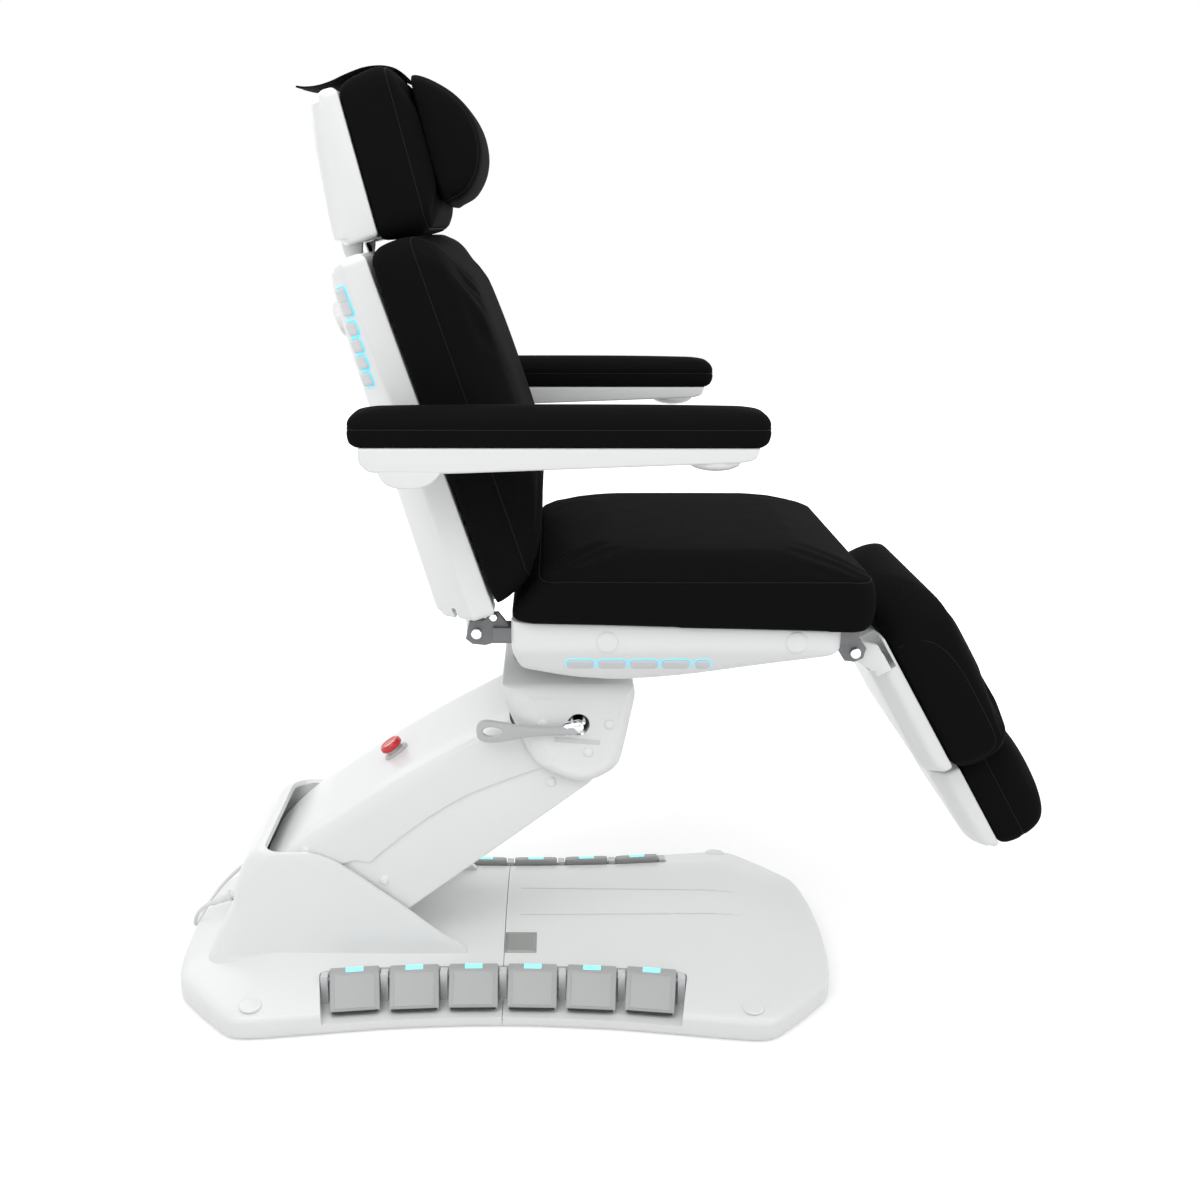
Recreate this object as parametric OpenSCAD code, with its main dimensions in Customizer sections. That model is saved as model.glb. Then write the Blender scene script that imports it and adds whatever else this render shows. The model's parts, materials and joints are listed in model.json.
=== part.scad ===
// Powered procedure chair: head end at -X, foot end at +X, the operator's near side at -Y.
// Millimetres. The origin is the centre of the base's footprint, on the floor.

/* [Base] */

// Half the length of the base at its middle
base_half_length = 570; // [560:580]
// Half the width of the base at its narrow waist
base_waist = 256; // [250:262]
// Height of the base cover's rounded rim
rim_height = 44; // [40:48]
// Height of the base cover along its spine
deck_height = 90; // [86:94]
// Wall of the moulded covers
wall = 4; // [3:0.5:5]
// Seam between the two halves of the base cover
base_seam = 1; // [0.6:0.2:1.6]
// Floor of the pedal recess above the ground
recess_floor = 20; // [19:21]
// Thickness of the base frame's plate, which lies on the floor and carries the covers
base_plate = 8; // [7:0.5:9]

/* [Pedals] */

// Distance between neighbouring pedals
pedal_pitch = 99; // [98:101]
// Width of one pedal
pedal_width = 78; // [74:80]
// Radius of a pedal's pivot pin
pedal_pin = 3; // [2.5:0.5:3.5]

/* [Lift] */

// Distance between the two pivots of each lift link
link_length = 470; // [460:480]
// Rise of the links over the level as photographed
link_angle = 34; // [32:36]
// Half the width of the upper arm cover
arm_half = 140; // [137:142]
// Radius of the four lift pivot pins
lift_pin = 11; // [9:12]
// Radius of the emergency stop's mushroom head
estop_radius = 20; // [18:21]

/* [Lift head] */

// Half the width of the lift head's casing
casing_half = 160; // [157:163]
// Top of the casing above the floor
casing_top = 562; // [558:564]
// Radius of the swivel plate
swivel_radius = 100; // [92:104]

/* [Seat] */

// Half the width of the seat cushion
seat_half = 281; // [276:284]
// Top of the seat cushion above the floor
seat_top = 795; // [790:800]
// Half the width of the seat shell
shell_half = 262; // [258:264]
// Distance between the four wide keys of the seat
key_pitch = 48.2; // [47:0.2:49]

/* [Back] */

// Rearward lean of the back as photographed
back_lean = 18.7; // [17:0.1:20]
// Length of the back shell above its hinge
back_length = 578; // [570:584]
// Half the width of the back cushion
back_half = 275; // [270:279]
// Radius of the back and leg hinge pins
hinge_pin = 8; // [7:9]

/* [Head] */

// Rearward lean of the head rest as photographed
head_lean = 14.4; // [13:0.1:16]
// Half the width of the head rest cushion
head_half = 185; // [180:190]
// Radius of the chromed head rest rods
rod_radius = 7.5; // [6.5:0.5:8]
// Distance of each rod from the middle
rod_offset = 60; // [55:65]
// Half the length of the half-round pillow
pillow_half = 142; // [130:150]

/* [Arm rests] */

// Distance of each arm rest's middle from the chair's middle
armrest_offset = 342; // [341:346]
// Width of an arm rest pad
armrest_width = 85; // [82:86]
// Radius of an arm rest's axle
axle_radius = 12; // [10:13]

/* [Leg rest] */

// Slope of the leg rest from the vertical as photographed
leg_lean = 30; // [29:31]
// Half the width of the leg cushion
leg_half = 225; // [220:230]
// Half the width of the foot cushion
foot_half = 165; // [160:170]

/* [Cord] */

// Diameter of the mains lead
cord_diameter = 7; // [6.6:0.2:7.4]

/* [Hidden] */

$fn = 48;
run_gap = 0.06;
slide_gap = 0.3;
clear = 0.4;

pedal_x = [for (k = [0:5]) (k - 2.5) * pedal_pitch];
pedal_turn = [-7, -4, -1.2, 1.2, 4, 7];
pedal_shift = [11, 4, 0, 0, 4, 11];
pedal_pivot_y = 195;
pedal_pivot_z = 62;
post_depth = 18;

head_pivot = [44.6477, 0, 477.8207];
pivot_drop = [62, 0, -58];
head_pivot_low = head_pivot + pivot_drop;
base_pivot = head_pivot - link_length * [cos(link_angle), 0, sin(link_angle)];
base_pivot_low = base_pivot + pivot_drop;
plate_y = 105;
plate_thick = 10;
bar_y = 60;
bar_width = 30;
estop_s = 220;
estop_n = 53;

lever_hole = [124, 0, 496];
swivel_x = 115;
tilt_pivot = [swivel_x, 0, 628];
tilt_pin = 10;

back_pin = [-33, 0, 674];
leg_pin = [543, 0, 644];
hinge_y = shell_half - 40;
lug_y = hinge_y - 13;
key_tilt = 31.7;
key_y = shell_half - 15.5;
key_z = 630;

head_origin = [-200, 0, 1240];
rod_x = 4;
head_pin_back = [8, 0, 612];
armrest_axle = [10.8, 0, 287.7];

// Where a point of the back's own frame lies in the chair
function from_back(p) = back_pin + p[0] * [cos(back_lean), 0, sin(back_lean)]
  + p[2] * [-sin(back_lean), 0, cos(back_lean)];

tongue_half = 95;

cord_radius = cord_diameter / 2;
cord_sides = 8;
// The lead's points go with the shroud that it leaves
cord_shift = [base_pivot[0] + 345, 0, 0];
cord_route = [for (p = [[-543, 20, 73], [-552, 21, 69], [-562, 24, 61], [-571, 28, 50], [-578, 33, 37],
  [-583, 40, 23], [-586, 52, 11], [-587, 70, 5], [-587, 95, 3.6], [-586, 125, 3.6],
  [-584, 160, 3.6], [-580, 200, 3.6], [-573, 240, 3.6], [-562, 280, 3.6], [-547, 318, 3.6],
  [-527, 350, 3.6], [-503, 373, 3.6], [-475, 386, 3.6], [-448, 390, 3.6], [-420, 390, 3.6],
  [-400, 390, 3.6], [-380, 390, 3.6]]) p + cord_shift];
gland_start = [-488, 20, 97] + cord_shift;
coil_middle = [-380, 430, 0] + cord_shift;
coil_radius = 40;
coil_turns = 5;
coil_rise = 8.4;
coil_tail = [for (p = [[-363, 389, 45.2], [-346, 387, 42], [-329, 385, 36], [-313, 383, 28.5],
  [-298, 381, 21.5], [-285, 380, 17.4]]) p + cord_shift];
plug_length = 38;

// The sub-part to draw, or all of them

white = [0.93, 0.93, 0.92];
steel = [0.62, 0.63, 0.65];
dark_steel = [0.33, 0.34, 0.35];
leather = [0.07, 0.07, 0.075];
grey = [0.72, 0.73, 0.74];
red = [0.85, 0.16, 0.16];
chrome = [0.8, 0.81, 0.83];

// Shared shapes

// A closed skin through rings of points, listed from the lowest ring up, each one anticlockwise
module loft(rings) {
  n = len(rings[0]);
  m = len(rings);
  sides = [for (j = [0:m - 2], i = [0:n - 1]) each [
    [j * n + i, (j + 1) * n + i, (j + 1) * n + (i + 1) % n],
    [j * n + i, (j + 1) * n + (i + 1) % n, j * n + (i + 1) % n]]];
  low = [for (i = [0:n - 1]) i];
  high = [for (i = [0:n - 1]) m * n - 1 - i];
  polyhedron([for (r = rings) each r], concat(sides, [low, high]));
}

// Points of a rectangle with round corners, from a0 to a1 along x and w to each side
function round_ring(a0, a1, w, r, h, slope = 0, steps = 5) =
  [for (k = [0:3], i = [0:steps])
    let (a = 90 * k + 90 * i / steps,
      cx = (k == 0 || k == 3) ? a1 - r : a0 + r,
      cy = k < 2 ? w - r : r - w,
      x = cx + r * cos(a))
    [x, cy + r * sin(a), h + slope * (x - (a0 + a1) / 2)]];

// A cushion from rows of [height, near end, far end, half width, corner radius]
module cushion(rows) {
  loft([for (q = rows) round_ring(q[1], q[2], q[3], q[4], q[0])]);
}

// A plate with its outline in x and z, standing from y0 to y1
module side_plate(points, y0, y1) {
  translate([0, y1, 0])
    rotate([90, 0, 0])
      linear_extrude(y1 - y0) polygon(points);
}

// A round bar across the chair from y0 to y1 at the point c
module cross_bar(c, r, y0, y1) {
  translate([c[0], y0, c[2]])
    rotate([-90, 0, 0])
      cylinder(r = r, h = y1 - y0);
}

module box(x0, x1, y0, y1, z0, z1) {
  translate([x0, y0, z0]) cube([x1 - x0, y1 - y0, z1 - z0]);
}

module both_sides() {
  children();
  mirror([0, 1, 0]) children();
}

module at_back() {
  translate(back_pin) rotate([0, -back_lean, 0]) children();
}

module at_head() {
  translate(head_origin) rotate([0, -head_lean, 0]) children();
}

module at_leg() {
  translate(leg_pin) rotate([0, -leg_lean, 0]) children();
}

module at_arm() {
  translate(base_pivot) rotate([0, -link_angle, 0]) children();
}

module at_low_arm() {
  translate(base_pivot_low) rotate([0, -link_angle, 0]) children();
}

// A panel cushion lying on its x face, its rows counted down the panel
module panel_cushion(rows) {
  rotate([0, 90, 0]) cushion(rows);
}

// Base

// One quarter of the outline, from the waist to the middle of the end
quarter = [[0, base_waist], [60, 257], [110, 260], [192, 266], [272, 277], [330, 285.5],
  [385, 293], [414, 296], [434, 294], [450, 286], [500, 236], [547, 182], [558, 150],
  [566, 90], [base_half_length, 0]];
last = len(quarter) - 1;
spine_end = 330;

// The outline of one half, from its seam at x0, drawn in toward the spine by the share t
function base_ring(t, z, x0) =
  [for (p = concat([for (i = [last:-1:1]) quarter[i]], [[x0, base_waist], [x0, -base_waist]],
      [for (i = [1:last - 1]) [quarter[i][0], -quarter[i][1]]]))
    [p[0] + (min(spine_end, p[0]) - p[0]) * t, p[1] * (1 - t), z]];

// Share drawn in and share of the rise over the rim, from the rim's inner edge to the spine
deck_rows = [[0.055, 0], [0.16, 0.22], [0.36, 0.6], [0.58, 0.85], [0.8, 1]];

module base_half(t, drop, x0) {
  rise = deck_height - rim_height;
  loft(concat([base_ring(t, drop > 0 ? -10 : 4, x0),
    base_ring(t, rim_height - 14 - drop, x0),
    base_ring(t + 0.012, rim_height - 6 - drop, x0),
    base_ring(t + 0.035, rim_height - 1.5 - drop, x0)],
    [for (q = deck_rows) base_ring(t + q[0], rim_height + rise * q[1] - drop, x0)]));
}

// The recess for one side's pedals, grown by g
module pedal_recess(g) {
  half = 2.5 * pedal_pitch + pedal_width / 2 + 20;
  translate([0, 0, recess_floor - g])
    linear_extrude(120)
      polygon([[-half - g, 198 - g], [-200, 186 - g], [-110, 181.5 - g], [0, 179 - g],
        [110, 181.5 - g], [200, 186 - g], [half + g, 198 - g], [half - 22 + g, 330],
        [-half + 22 - g, 330]]);
}

// Rows of the shroud: height, rear and front end from the lift's pivot, half width at both ends
shroud_rows = [[46, -167, 283, 160, 152], [84, -155, 278, 158, 151], [110, -143, 237, 157, 151],
  [156, -120, 181, 156, 151], [191, -112, 136, 155, 151], [236, -95, 76, 154, 151],
  [257, -75, 35, 152, 150], [263, -59, 15, 149, 147]];

function shroud_ring(q, g, front, r) =
  concat([[front, -q[4] + g, q[0]], [front, q[4] - g, q[0]]],
    [for (i = [0:4]) let (a = 90 + 22.5 * i)
      [q[1] + g + r + r * cos(a), q[3] - g - r + r * sin(a), q[0]]],
    [for (i = [0:4]) let (a = 180 + 22.5 * i)
      [q[1] + g + r + r * cos(a), -q[3] + g + r + r * sin(a), q[0]]]);

module shroud() {
  translate([base_pivot[0], 0, 0])
    difference() {
      loft([for (q = shroud_rows) shroud_ring(q, 0, q[2], 34)]);
      loft([for (k = [0:len(shroud_rows) - 1]) let (q = shroud_rows[k])
        shroud_ring([k == 0 ? 0 : (k == len(shroud_rows) - 1 ? 300 : q[0]), q[1], q[2], q[3], q[4]],
          wall + 3, 405, 30)]);
    }
}

module post_holes(g) {
  for (k = [0:6])
    translate([(k - 3) * pedal_pitch, 0, 0])
      box(-6 - g, 6 + g, pedal_pivot_y - post_depth / 2 - g + post_shift(k),
        pedal_pivot_y + post_depth / 2 + g + post_shift(k), -20, 80);
}

function post_shift(k) = [15, 7, 2, 0, 2, 7, 15][k];

// One half of the base's cover, drawn on the foot side
module cover_half() {
  difference() {
    base_half(0, 0, base_seam / 2);
    difference() {
      base_half(0.018, wall, -20);
      both_sides() {
        pedal_recess(wall);
        for (x = [60, 300])
          translate([x, 158, base_plate]) cylinder(r = 8, h = 80);
      }
    }
    both_sides() pedal_recess(0);
    both_sides() post_holes(1.5);
  }
  both_sides() translate([409, 268, 42]) cylinder(r = 18, h = 8);
}

module base_shell_head() {
  color(white)
    difference() {
      union() {
        difference() {
          rotate([0, 0, 180]) cover_half();
          box(base_pivot[0] - 125, base_pivot[0] + 235, -145, 145, 0, 200);
        }
        shroud();
      }
      along_gland() translate([0, 0, -12]) cylinder(r = 7.3, h = 30);
    }
}

module base_shell_foot() {
  color(white)
    difference() {
      cover_half();
      both_sides()
        translate([24, 48, deck_height - 3])
          rotate([0, 0, -1.2]) cube([400, 6, 20]);
    }
}

tower_foot = 40;
tower_points = [for (p = [[-75, tower_foot - base_pivot[2]], [100, tower_foot - base_pivot[2]],
  [82, -58], [62, -35], [24, 0], [0, 24], [-24, 0]]) p + [base_pivot[0], base_pivot[2]]];

module base_frame() {
  color(dark_steel)
    difference() {
      union() {
        both_sides() {
          box(-430, 430, 85, 125, base_plate - 0.1, 40);
          side_plate(tower_points, plate_y, plate_y + plate_thick);
          cross_bar(base_pivot, 24, plate_y, plate_y + plate_thick);
          cross_bar(base_pivot_low, 24, plate_y, plate_y + plate_thick);
          pedal_posts();
        }
        box(-430, 430, -235, 235, 0, base_plate);
        for (x = [-400, 0, 400]) box(x - 25, x + 25, -126, 126, base_plate - 0.1, 30);
      }
      cross_bar(base_pivot, lift_pin + run_gap, -200, 200);
      cross_bar(base_pivot_low, lift_pin + run_gap, -200, 200);
    }
}

// Posts between the pedals, with the pins that the pedals turn on
module pedal_posts() {
  for (k = [0:6])
    translate([(k - 3) * pedal_pitch, 0, 0])
      box(-6, 6, pedal_pivot_y - post_depth / 2 + post_shift(k),
        pedal_pivot_y + post_depth / 2 + post_shift(k), base_plate - 1, 70);
  for (k = [0:5])
    at_pedal(k)
      rotate([0, 90, 0]) cylinder(r = pedal_pin, h = pedal_pitch - 8, center = true);
}

module at_pedal(k) {
  translate([pedal_x[k], pedal_pivot_y + pedal_shift[k], pedal_pivot_z])
    rotate([0, 0, pedal_turn[k]])
      children();
}

// One pedal in its own frame: +Y is outward, the pivot is the origin
module pedal_body() {
  top = [[-10, 15], [5, 13], [49, -29], [49, -34], [38, -38], [4, -4], [-9, -6]];
  difference() {
    rotate([90, 0, 90])
      translate([0, 0, -pedal_width / 2])
        linear_extrude(pedal_width) polygon(top);
    rotate([0, 90, 0]) cylinder(r = pedal_pin + run_gap, h = 100, center = true);
    translate([-15, -8, 13.4]) cube([30, 10, 5]);
    translate([0, 5, 13])
      rotate([-43.7, 0, 0])
        translate([-32, 5, -1.2]) cube([64, 46, 5]);
  }
}

module pedal(side, k) {
  color(grey)
    mirror([0, side == "r" ? 1 : 0, 0])
      at_pedal(k) pedal_body();
}

// Lift

skirt = 16;

// Section of the upper cover across the arm at one end of its length, drawn in by g
function cover_section(s, top, low, g) = [[s, -arm_half + g, low - g], [s, arm_half - g, low - g],
  [s, arm_half - g, top - skirt - g], [s, arm_half - 8 - g, top - 5 - g],
  [s, arm_half - 34, top - g], [s, -arm_half + 34, top - g], [s, -arm_half + 8 + g, top - 5 - g],
  [s, -arm_half + g, top - skirt - g]];

cover_stations = [[-40, 30, -30], [0, 46, -70], [60, 52, -82], [143, 52.6, -78],
  [213, 53, -75], [300, 48, -71.3], [380, 41, -67.8], [455, 34, -64.5]];

module cover_block(g) {
  loft([for (q = cover_stations) cover_section(q[0], q[1], q[2], g)]);
}

module lift_cover() {
  color(white)
    difference() {
      union() {
        at_arm() difference() {
          cover_block(0);
          difference() {
            cover_inside();
            both_sides()
              for (s = [110, 360])
                box(s, s + 6, bar_y, arm_half, 22.4, 80);
          }
          box(441, 480, -126, 126, -200, 200);
        }
        at_arm() estop_collar();
      }
      at_arm() translate([estop_s, 0, 0]) cylinder(r = 8, h = 90);
    }
}

module cover_inside() {
  loft([for (q = [[-60, 10, -30], [0, 42, -70], [60, 48, -82], [143, 48.6, -78],
      [213, 49, -75], [300, 44, -71.3], [380, 37, -67.8], [470, 29, -64.5]])
    [[q[0], -arm_half + wall, -130], [q[0], arm_half - wall, -130],
     [q[0], arm_half - wall, q[1] - skirt], [q[0], arm_half - 34, q[1]],
     [q[0], -arm_half + 34, q[1]], [q[0], -arm_half + wall, q[1] - skirt]]]);
}

module estop_collar() {
  translate([estop_s, 0, estop_n - 4]) cylinder(r = 27, h = 8);
}

module estop_button() {
  color(red)
    at_arm() translate([estop_s, 0, estop_n - 20]) {
      translate([0, 0, 3]) cylinder(r = 7.6, h = 31);
      translate([0, 0, 29.5]) cylinder(r1 = estop_radius - 3, r2 = estop_radius, h = 4);
      translate([0, 0, 33.4]) cylinder(r = estop_radius, h = 5);
      translate([0, 0, 38.3]) cylinder(r1 = estop_radius, r2 = estop_radius - 6, h = 5);
    }
}

module lift_link() {
  color(dark_steel)
    at_arm() {
      both_sides() {
        box(-16, link_length + 16, bar_y, bar_y + bar_width, -22, 22);
        rotate([-90, 0, 0]) cylinder(r = lift_pin, h = plate_y + plate_thick + 6);
        translate([link_length, 0, 0])
          rotate([-90, 0, 0]) cylinder(r = lift_pin, h = plate_y + plate_thick + 6);
      }
      box(60, 90, -bar_y - 1, bar_y + 1, -15, 15);
      box(395, 425, -bar_y - 1, bar_y + 1, -15, 15);
    }
}

module lift_actuator() {
  color(steel)
    at_arm() {
      translate([90.3, 0, 0]) rotate([0, 90, 0]) cylinder(r = 30, h = 190);
      translate([279, 0, 0]) rotate([0, 90, 0]) cylinder(r = 14, h = 115.7);
      translate([130, 0, -2]) rotate([180, 0, 0]) cylinder(r = 24, h = 62);
    }
}

module parallel_link() {
  color(white)
    at_low_arm() {
      both_sides() {
        box(-14, link_length + 14, bar_y, bar_y + bar_width, -14, 14);
        rotate([-90, 0, 0]) cylinder(r = lift_pin, h = plate_y + plate_thick + 6);
        translate([link_length, 0, 0])
          rotate([-90, 0, 0]) cylinder(r = lift_pin, h = plate_y + plate_thick + 6);
        side_plate(low_skirt(), 129, 133);
      }
      side_plate([[104, -92], [link_length + 10, -60], [link_length + 10, -56], [104, -88]],
        -130, 130);
      for (s = [150, 340])
        side_plate([[s, -86], [s + 6, -86], [s + 6, -13], [s, -13]], -130, 130);
    }
}

function low_skirt() = concat([[link_length, 24], [96, 24], [90, -78], [104, -92]],
  [for (i = [0:6]) let (a = -97 + 20.5 * i) [link_length + 58 * cos(a), 58 * sin(a)]]);

casing_points = [[-1, casing_top], [6, 527], [44, 439], [60, 420], [78, 410], [102, 398],
  [127, 392], [150, 396], [176, 410], [189, 423], [195, 439], [216, 545], [212, casing_top]];

module lift_head_casing() {
  color(white)
    difference() {
      side_plate(casing_points, -casing_half, casing_half);
      side_plate([[-40, casing_top - 6], [-40, 380], [170, 380], [182, 440], [200, casing_top - 6]],
        -casing_half + 15, casing_half - 15);
      both_sides()
        side_plate([[40, casing_top - 6], [40, 500], [100, 430], [170, 430], [194, casing_top - 20]],
          -casing_half + 5, -casing_half + 16);
      cross_bar(lever_hole, 18, -casing_half - 1, -casing_half + 20);
      translate([swivel_x, 0, casing_top - 8]) cylinder(r = 70, h = 20);
    }
}

head_plate = [[24, 478], [24, casing_top - 6.3], [192, casing_top - 6.3], [183, 474], [124, 409],
  [90, 409], [62, 462], [44, 454]];

module lift_head_frame() {
  color(dark_steel)
    difference() {
      union() {
        both_sides() {
          side_plate(head_plate, plate_y, plate_y + plate_thick);
          cross_bar(head_pivot, 24, plate_y, plate_y + plate_thick);
          cross_bar(head_pivot_low, 18, plate_y, plate_y + plate_thick);
        }
        box(60, 190, -plate_y - 1, plate_y + 1, casing_top - 16, casing_top - 6.3);
        translate([swivel_x, 0, casing_top - 14]) cylinder(r = 66, h = 14.5);
        cross_bar([lever_hole[0], 0, lever_hole[2]], 13, -casing_half + 17, -plate_y);
      }
      cross_bar(head_pivot, lift_pin + run_gap, -200, 200);
      cross_bar(head_pivot_low, lift_pin + run_gap, -200, 200);
      translate([swivel_x, 0, 500]) cylinder(r = 30 + run_gap, h = 100);
      cross_bar(lever_hole, 7 + run_gap, -casing_half, -plate_y + 20);
    }
}

// The loop handle, its shank and the pin that it turns on
module lock_lever() {
  color([0.78, 0.79, 0.8]) {
    cross_bar(lever_hole, 7, -casing_half - 6, -plate_y - 2);
    cross_bar(lever_hole, 14, -casing_half - 14, -casing_half + 12);
    translate([lever_hole[0], -casing_half - 11, lever_hole[2]])
      rotate([0, -3, 0]) {
        box(-90, 0, -4, 4, -8, 8);
        difference() {
          hull() {
            translate([-145, 0, 4]) rotate([90, 0, 0]) cylinder(r = 22, h = 9, center = true);
            translate([-92, 0, 0]) rotate([90, 0, 0]) cylinder(r = 10, h = 9, center = true);
          }
          hull() {
            translate([-143, 0, 4]) rotate([90, 0, 0]) cylinder(r = 13, h = 12, center = true);
            translate([-112, 0, 1]) rotate([90, 0, 0]) cylinder(r = 8, h = 12, center = true);
          }
        }
      }
  }
}

module turntable() {
  color(dark_steel) {
    translate([swivel_x, 0, 520]) cylinder(r = 30, h = 50);
    translate([swivel_x, 0, casing_top + 0.8]) cylinder(r = swivel_radius, h = 14);
    both_sides()
      difference() {
        side_plate([[swivel_x - 42, casing_top + 10], [swivel_x + 42, casing_top + 10],
          [swivel_x + 18, tilt_pivot[2] + 10], [swivel_x, tilt_pivot[2] + 18],
          [swivel_x - 18, tilt_pivot[2] + 10]], 62, 74);
        cross_bar(tilt_pivot, tilt_pin + run_gap, 50, 90);
      }
  }
}

// Seat

seat_slope = -0.028;

module seat_frame() {
  color(dark_steel) {
    both_sides() {
      difference() {
        union() {
          box(-8, 530, hinge_y - 22, hinge_y + 18, 660, 684);
          side_plate([[-50, 664], [-40, 656], [-20, 654], [0, 660], [10, 668], [17, 684],
            [0, 706], [-12, 704], [-20, 694], [-44, 692]], hinge_y, hinge_y + 9);
          side_plate([[515, 684], [515, 650], [528, 630], [543, 628], [556, 634], [560, 650],
            [548, 668], [548, 684]], hinge_y, hinge_y + 9);
          cross_bar([-7, 0, 700], 6, hinge_y, hinge_y + 14);
        }
        box(-60, -8.5, hinge_y - 32, hinge_y - 0.2, 640, 700);
      }
      cross_bar(back_pin, hinge_pin, lug_y - 6, hinge_y + 14);
      cross_bar(leg_pin, hinge_pin, lug_y - 6, hinge_y + 14);
      box(80, 150, 78, 88, 612, 672);
    }
    box(30, 510, -hinge_y - 18, hinge_y + 18, 680, 684);
    box(80, 150, -hinge_y - 8, hinge_y + 8, 664, 680.1);
    box(420, 460, -hinge_y - 8, hinge_y + 8, 664, 680.1);
    cross_bar(tilt_pivot, tilt_pin, -92, 92);
  }
}

module seat_cushion() {
  color(leather)
    loft([
      round_ring(24, 541, seat_half - 6, 26, 694, seat_slope),
      round_ring(18, 549, seat_half - 0.5, 30, 704, seat_slope),
      round_ring(42, 561, seat_half + 1, 32, 738, seat_slope / 2),
      round_ring(58, 566, seat_half, 34, 762),
      round_ring(61, 565, seat_half - 2.5, 34, 767),
      round_ring(66, 563, seat_half - 1, 36, 772),
      round_ring(79, 550, seat_half - 9, 44, 782),
      round_ring(98, 524, seat_half - 26, 50, seat_top - 6),
      round_ring(140, 490, seat_half - 56, 50, seat_top - 2),
      round_ring(200, 440, seat_half - 120, 50, seat_top)]);
}

// The shell's outside or, grown by -g, its inside
module seat_shell_body(g) {
  hull() {
    side_plate([for (p = [[20, 701], [24, 655], [518, 655], [516, 687.1]])
      [p[0] + (p[0] < 200 ? g : -g), p[1]]], -shell_half + g, shell_half - g);
    side_plate([for (p = [[36, 617], [110, 599], [186, 594], [303, 607], [500, 642]])
      [p[0] + (p[0] < 40 ? g : (p[0] > 450 ? -g : 0)), p[1] + g]],
      -shell_half + 34 + g, shell_half - 34 - g);
  }
}

module seat_shell() {
  color(white)
    difference() {
      union() {
        seat_shell_body(0);
        both_sides()
          for (x = [164, 448])
            cross_bar([x, 0, 669], 17, shell_half - 2, shell_half + 2);
      }
      difference() {
        seat_shell_body(wall);
        both_sides()
          for (x = [180, 420])
            box(x, x + 40, hinge_y + 10, shell_half + 8, 650, 660);
      }
      box(24.1, 515.9, -shell_half + wall, shell_half - wall, 662, 720);
      box(20, 205, -104, 104, 560, 625);
      both_sides() {
        box(0, 40, hinge_y - 24, hinge_y + 20, 657, 720);
        box(500, 530, hinge_y - 24, hinge_y + 20, 640, 720);
      }
      for (k = [0:4])
        at_key(k) key_block(k, clear);
    }
}

key_widths = [41, 41, 41, 41, 21];
key_x = [for (k = [0:4]) k < 4 ? 124.5 + k * key_pitch : 309.5];

module at_key(k) {
  translate([key_x[k], -key_y, key_z]) rotate([key_tilt, 0, 0]) children();
}

// A key in its own frame: -Y is outward
module key_block(k, g) {
  box(-key_widths[k] / 2 - g, key_widths[k] / 2 + g, -3 - g, 9 + g, -9.5 - g, 9.5 + g);
}

module seat_key(k) {
  color(grey) at_key(k) key_block(k, 0);
}

module seat_actuators() {
  color(steel) {
    translate([165, 0, 636]) rotate([0, 84, 0]) cylinder(r = 22, h = 190);
    translate([350, 0, 655]) rotate([0, 90, 0]) cylinder(r = 10, h = 69.7);
    for (y = [-140, 140]) {
      translate([150.3, y, 668]) rotate([0, 90, 0]) cylinder(r = 12, h = 269.4);
      translate([210, y, 652]) rotate([0, 90, 0]) cylinder(r = 26, h = 130);
    }
    for (y = [-140, 140])
      box(230, 300, min(0, y), max(0, y), 640, 652);
  }
}

// Back

// Height and rear face of the back shell; one flat chamfer joins its side to its rear
back_sections = [[25, -50], [40, -57], [379, -40], [476, -33], [560, -22], [back_length, -13]];
chamfer_edge = 4;
chamfer_run = [-37, 57];

function chamfer_share(x) = (x - chamfer_edge) / chamfer_run[0];
function back_ring(q, g) = let (y = shell_half - chamfer_run[1] * chamfer_share(q[1]) - g * 0.6)
  [[41 + g, -shell_half + g, q[0]], [41 + g, shell_half - g, q[0]],
   [chamfer_edge + g * 0.6, shell_half - g, q[0]], [q[1] + g, y, q[0]],
   [q[1] + g, -y, q[0]], [chamfer_edge + g * 0.6, -shell_half + g, q[0]]];

module back_shell_body() {
  difference() {
    loft([for (q = back_sections) back_ring(q, 0)]);
    intersection() {
      loft([for (q = back_sections) back_ring(q, wall)]);
      box(-100, 100, -300, 300, 29, back_length - wall);
    }
  }
}

module back_shell() {
  color(white)
    at_back()
      difference() {
        union() {
          back_shell_body();
          translate([-52, 0, 500]) rotate([0, 90, 0]) cylinder(r = 14, h = 26);
        }
        both_sides() {
          box(-26, 60, lug_y - 39, hinge_y + 4, 0, 45);
          cross_bar(armrest_axle, 14, shell_half - 22, shell_half + 18);
          translate([rod_x, rod_offset, 500]) cylinder(r = rod_radius + 3, h = 100);
        }
        translate([-100, 0, 500]) rotate([0, 90, 0]) cylinder(r = 6.4, h = 100);
        rocker_hole(clear);
        for (k = [0:3])
          at_back_key(k) back_key_block(clear);
      }
}

key_row = [484, 459.3, 434.7, 410];
rocker_z = 522;
rocker_axis = 4;

// Places on the near chamfer, further inward lower down: -X is outward
module at_chamfer(z) {
  share = 0.5 + (key_row[0] - z) * 0.0028;
  translate([chamfer_edge + chamfer_run[0] * share, chamfer_run[1] * share - shell_half, z])
    rotate([0, 0, atan2(-chamfer_run[0], chamfer_run[1])])
      children();
}

module at_back_key(k) {
  at_chamfer(key_row[k]) children();
}

module back_key_block(g) {
  box(-3 - g, 9 + g, -16.5 - g, 16.5 + g, -9.5 - g, 9.5 + g);
}

module rocker_hole(g) {
  at_chamfer(rocker_z) box(-9 - g, 9 + g, -14.5 - g, 14.5 + g, -20 - g, 20 + g);
}

module back_key(k) {
  color(grey) at_back() at_back_key(k) back_key_block(0);
}

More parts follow.
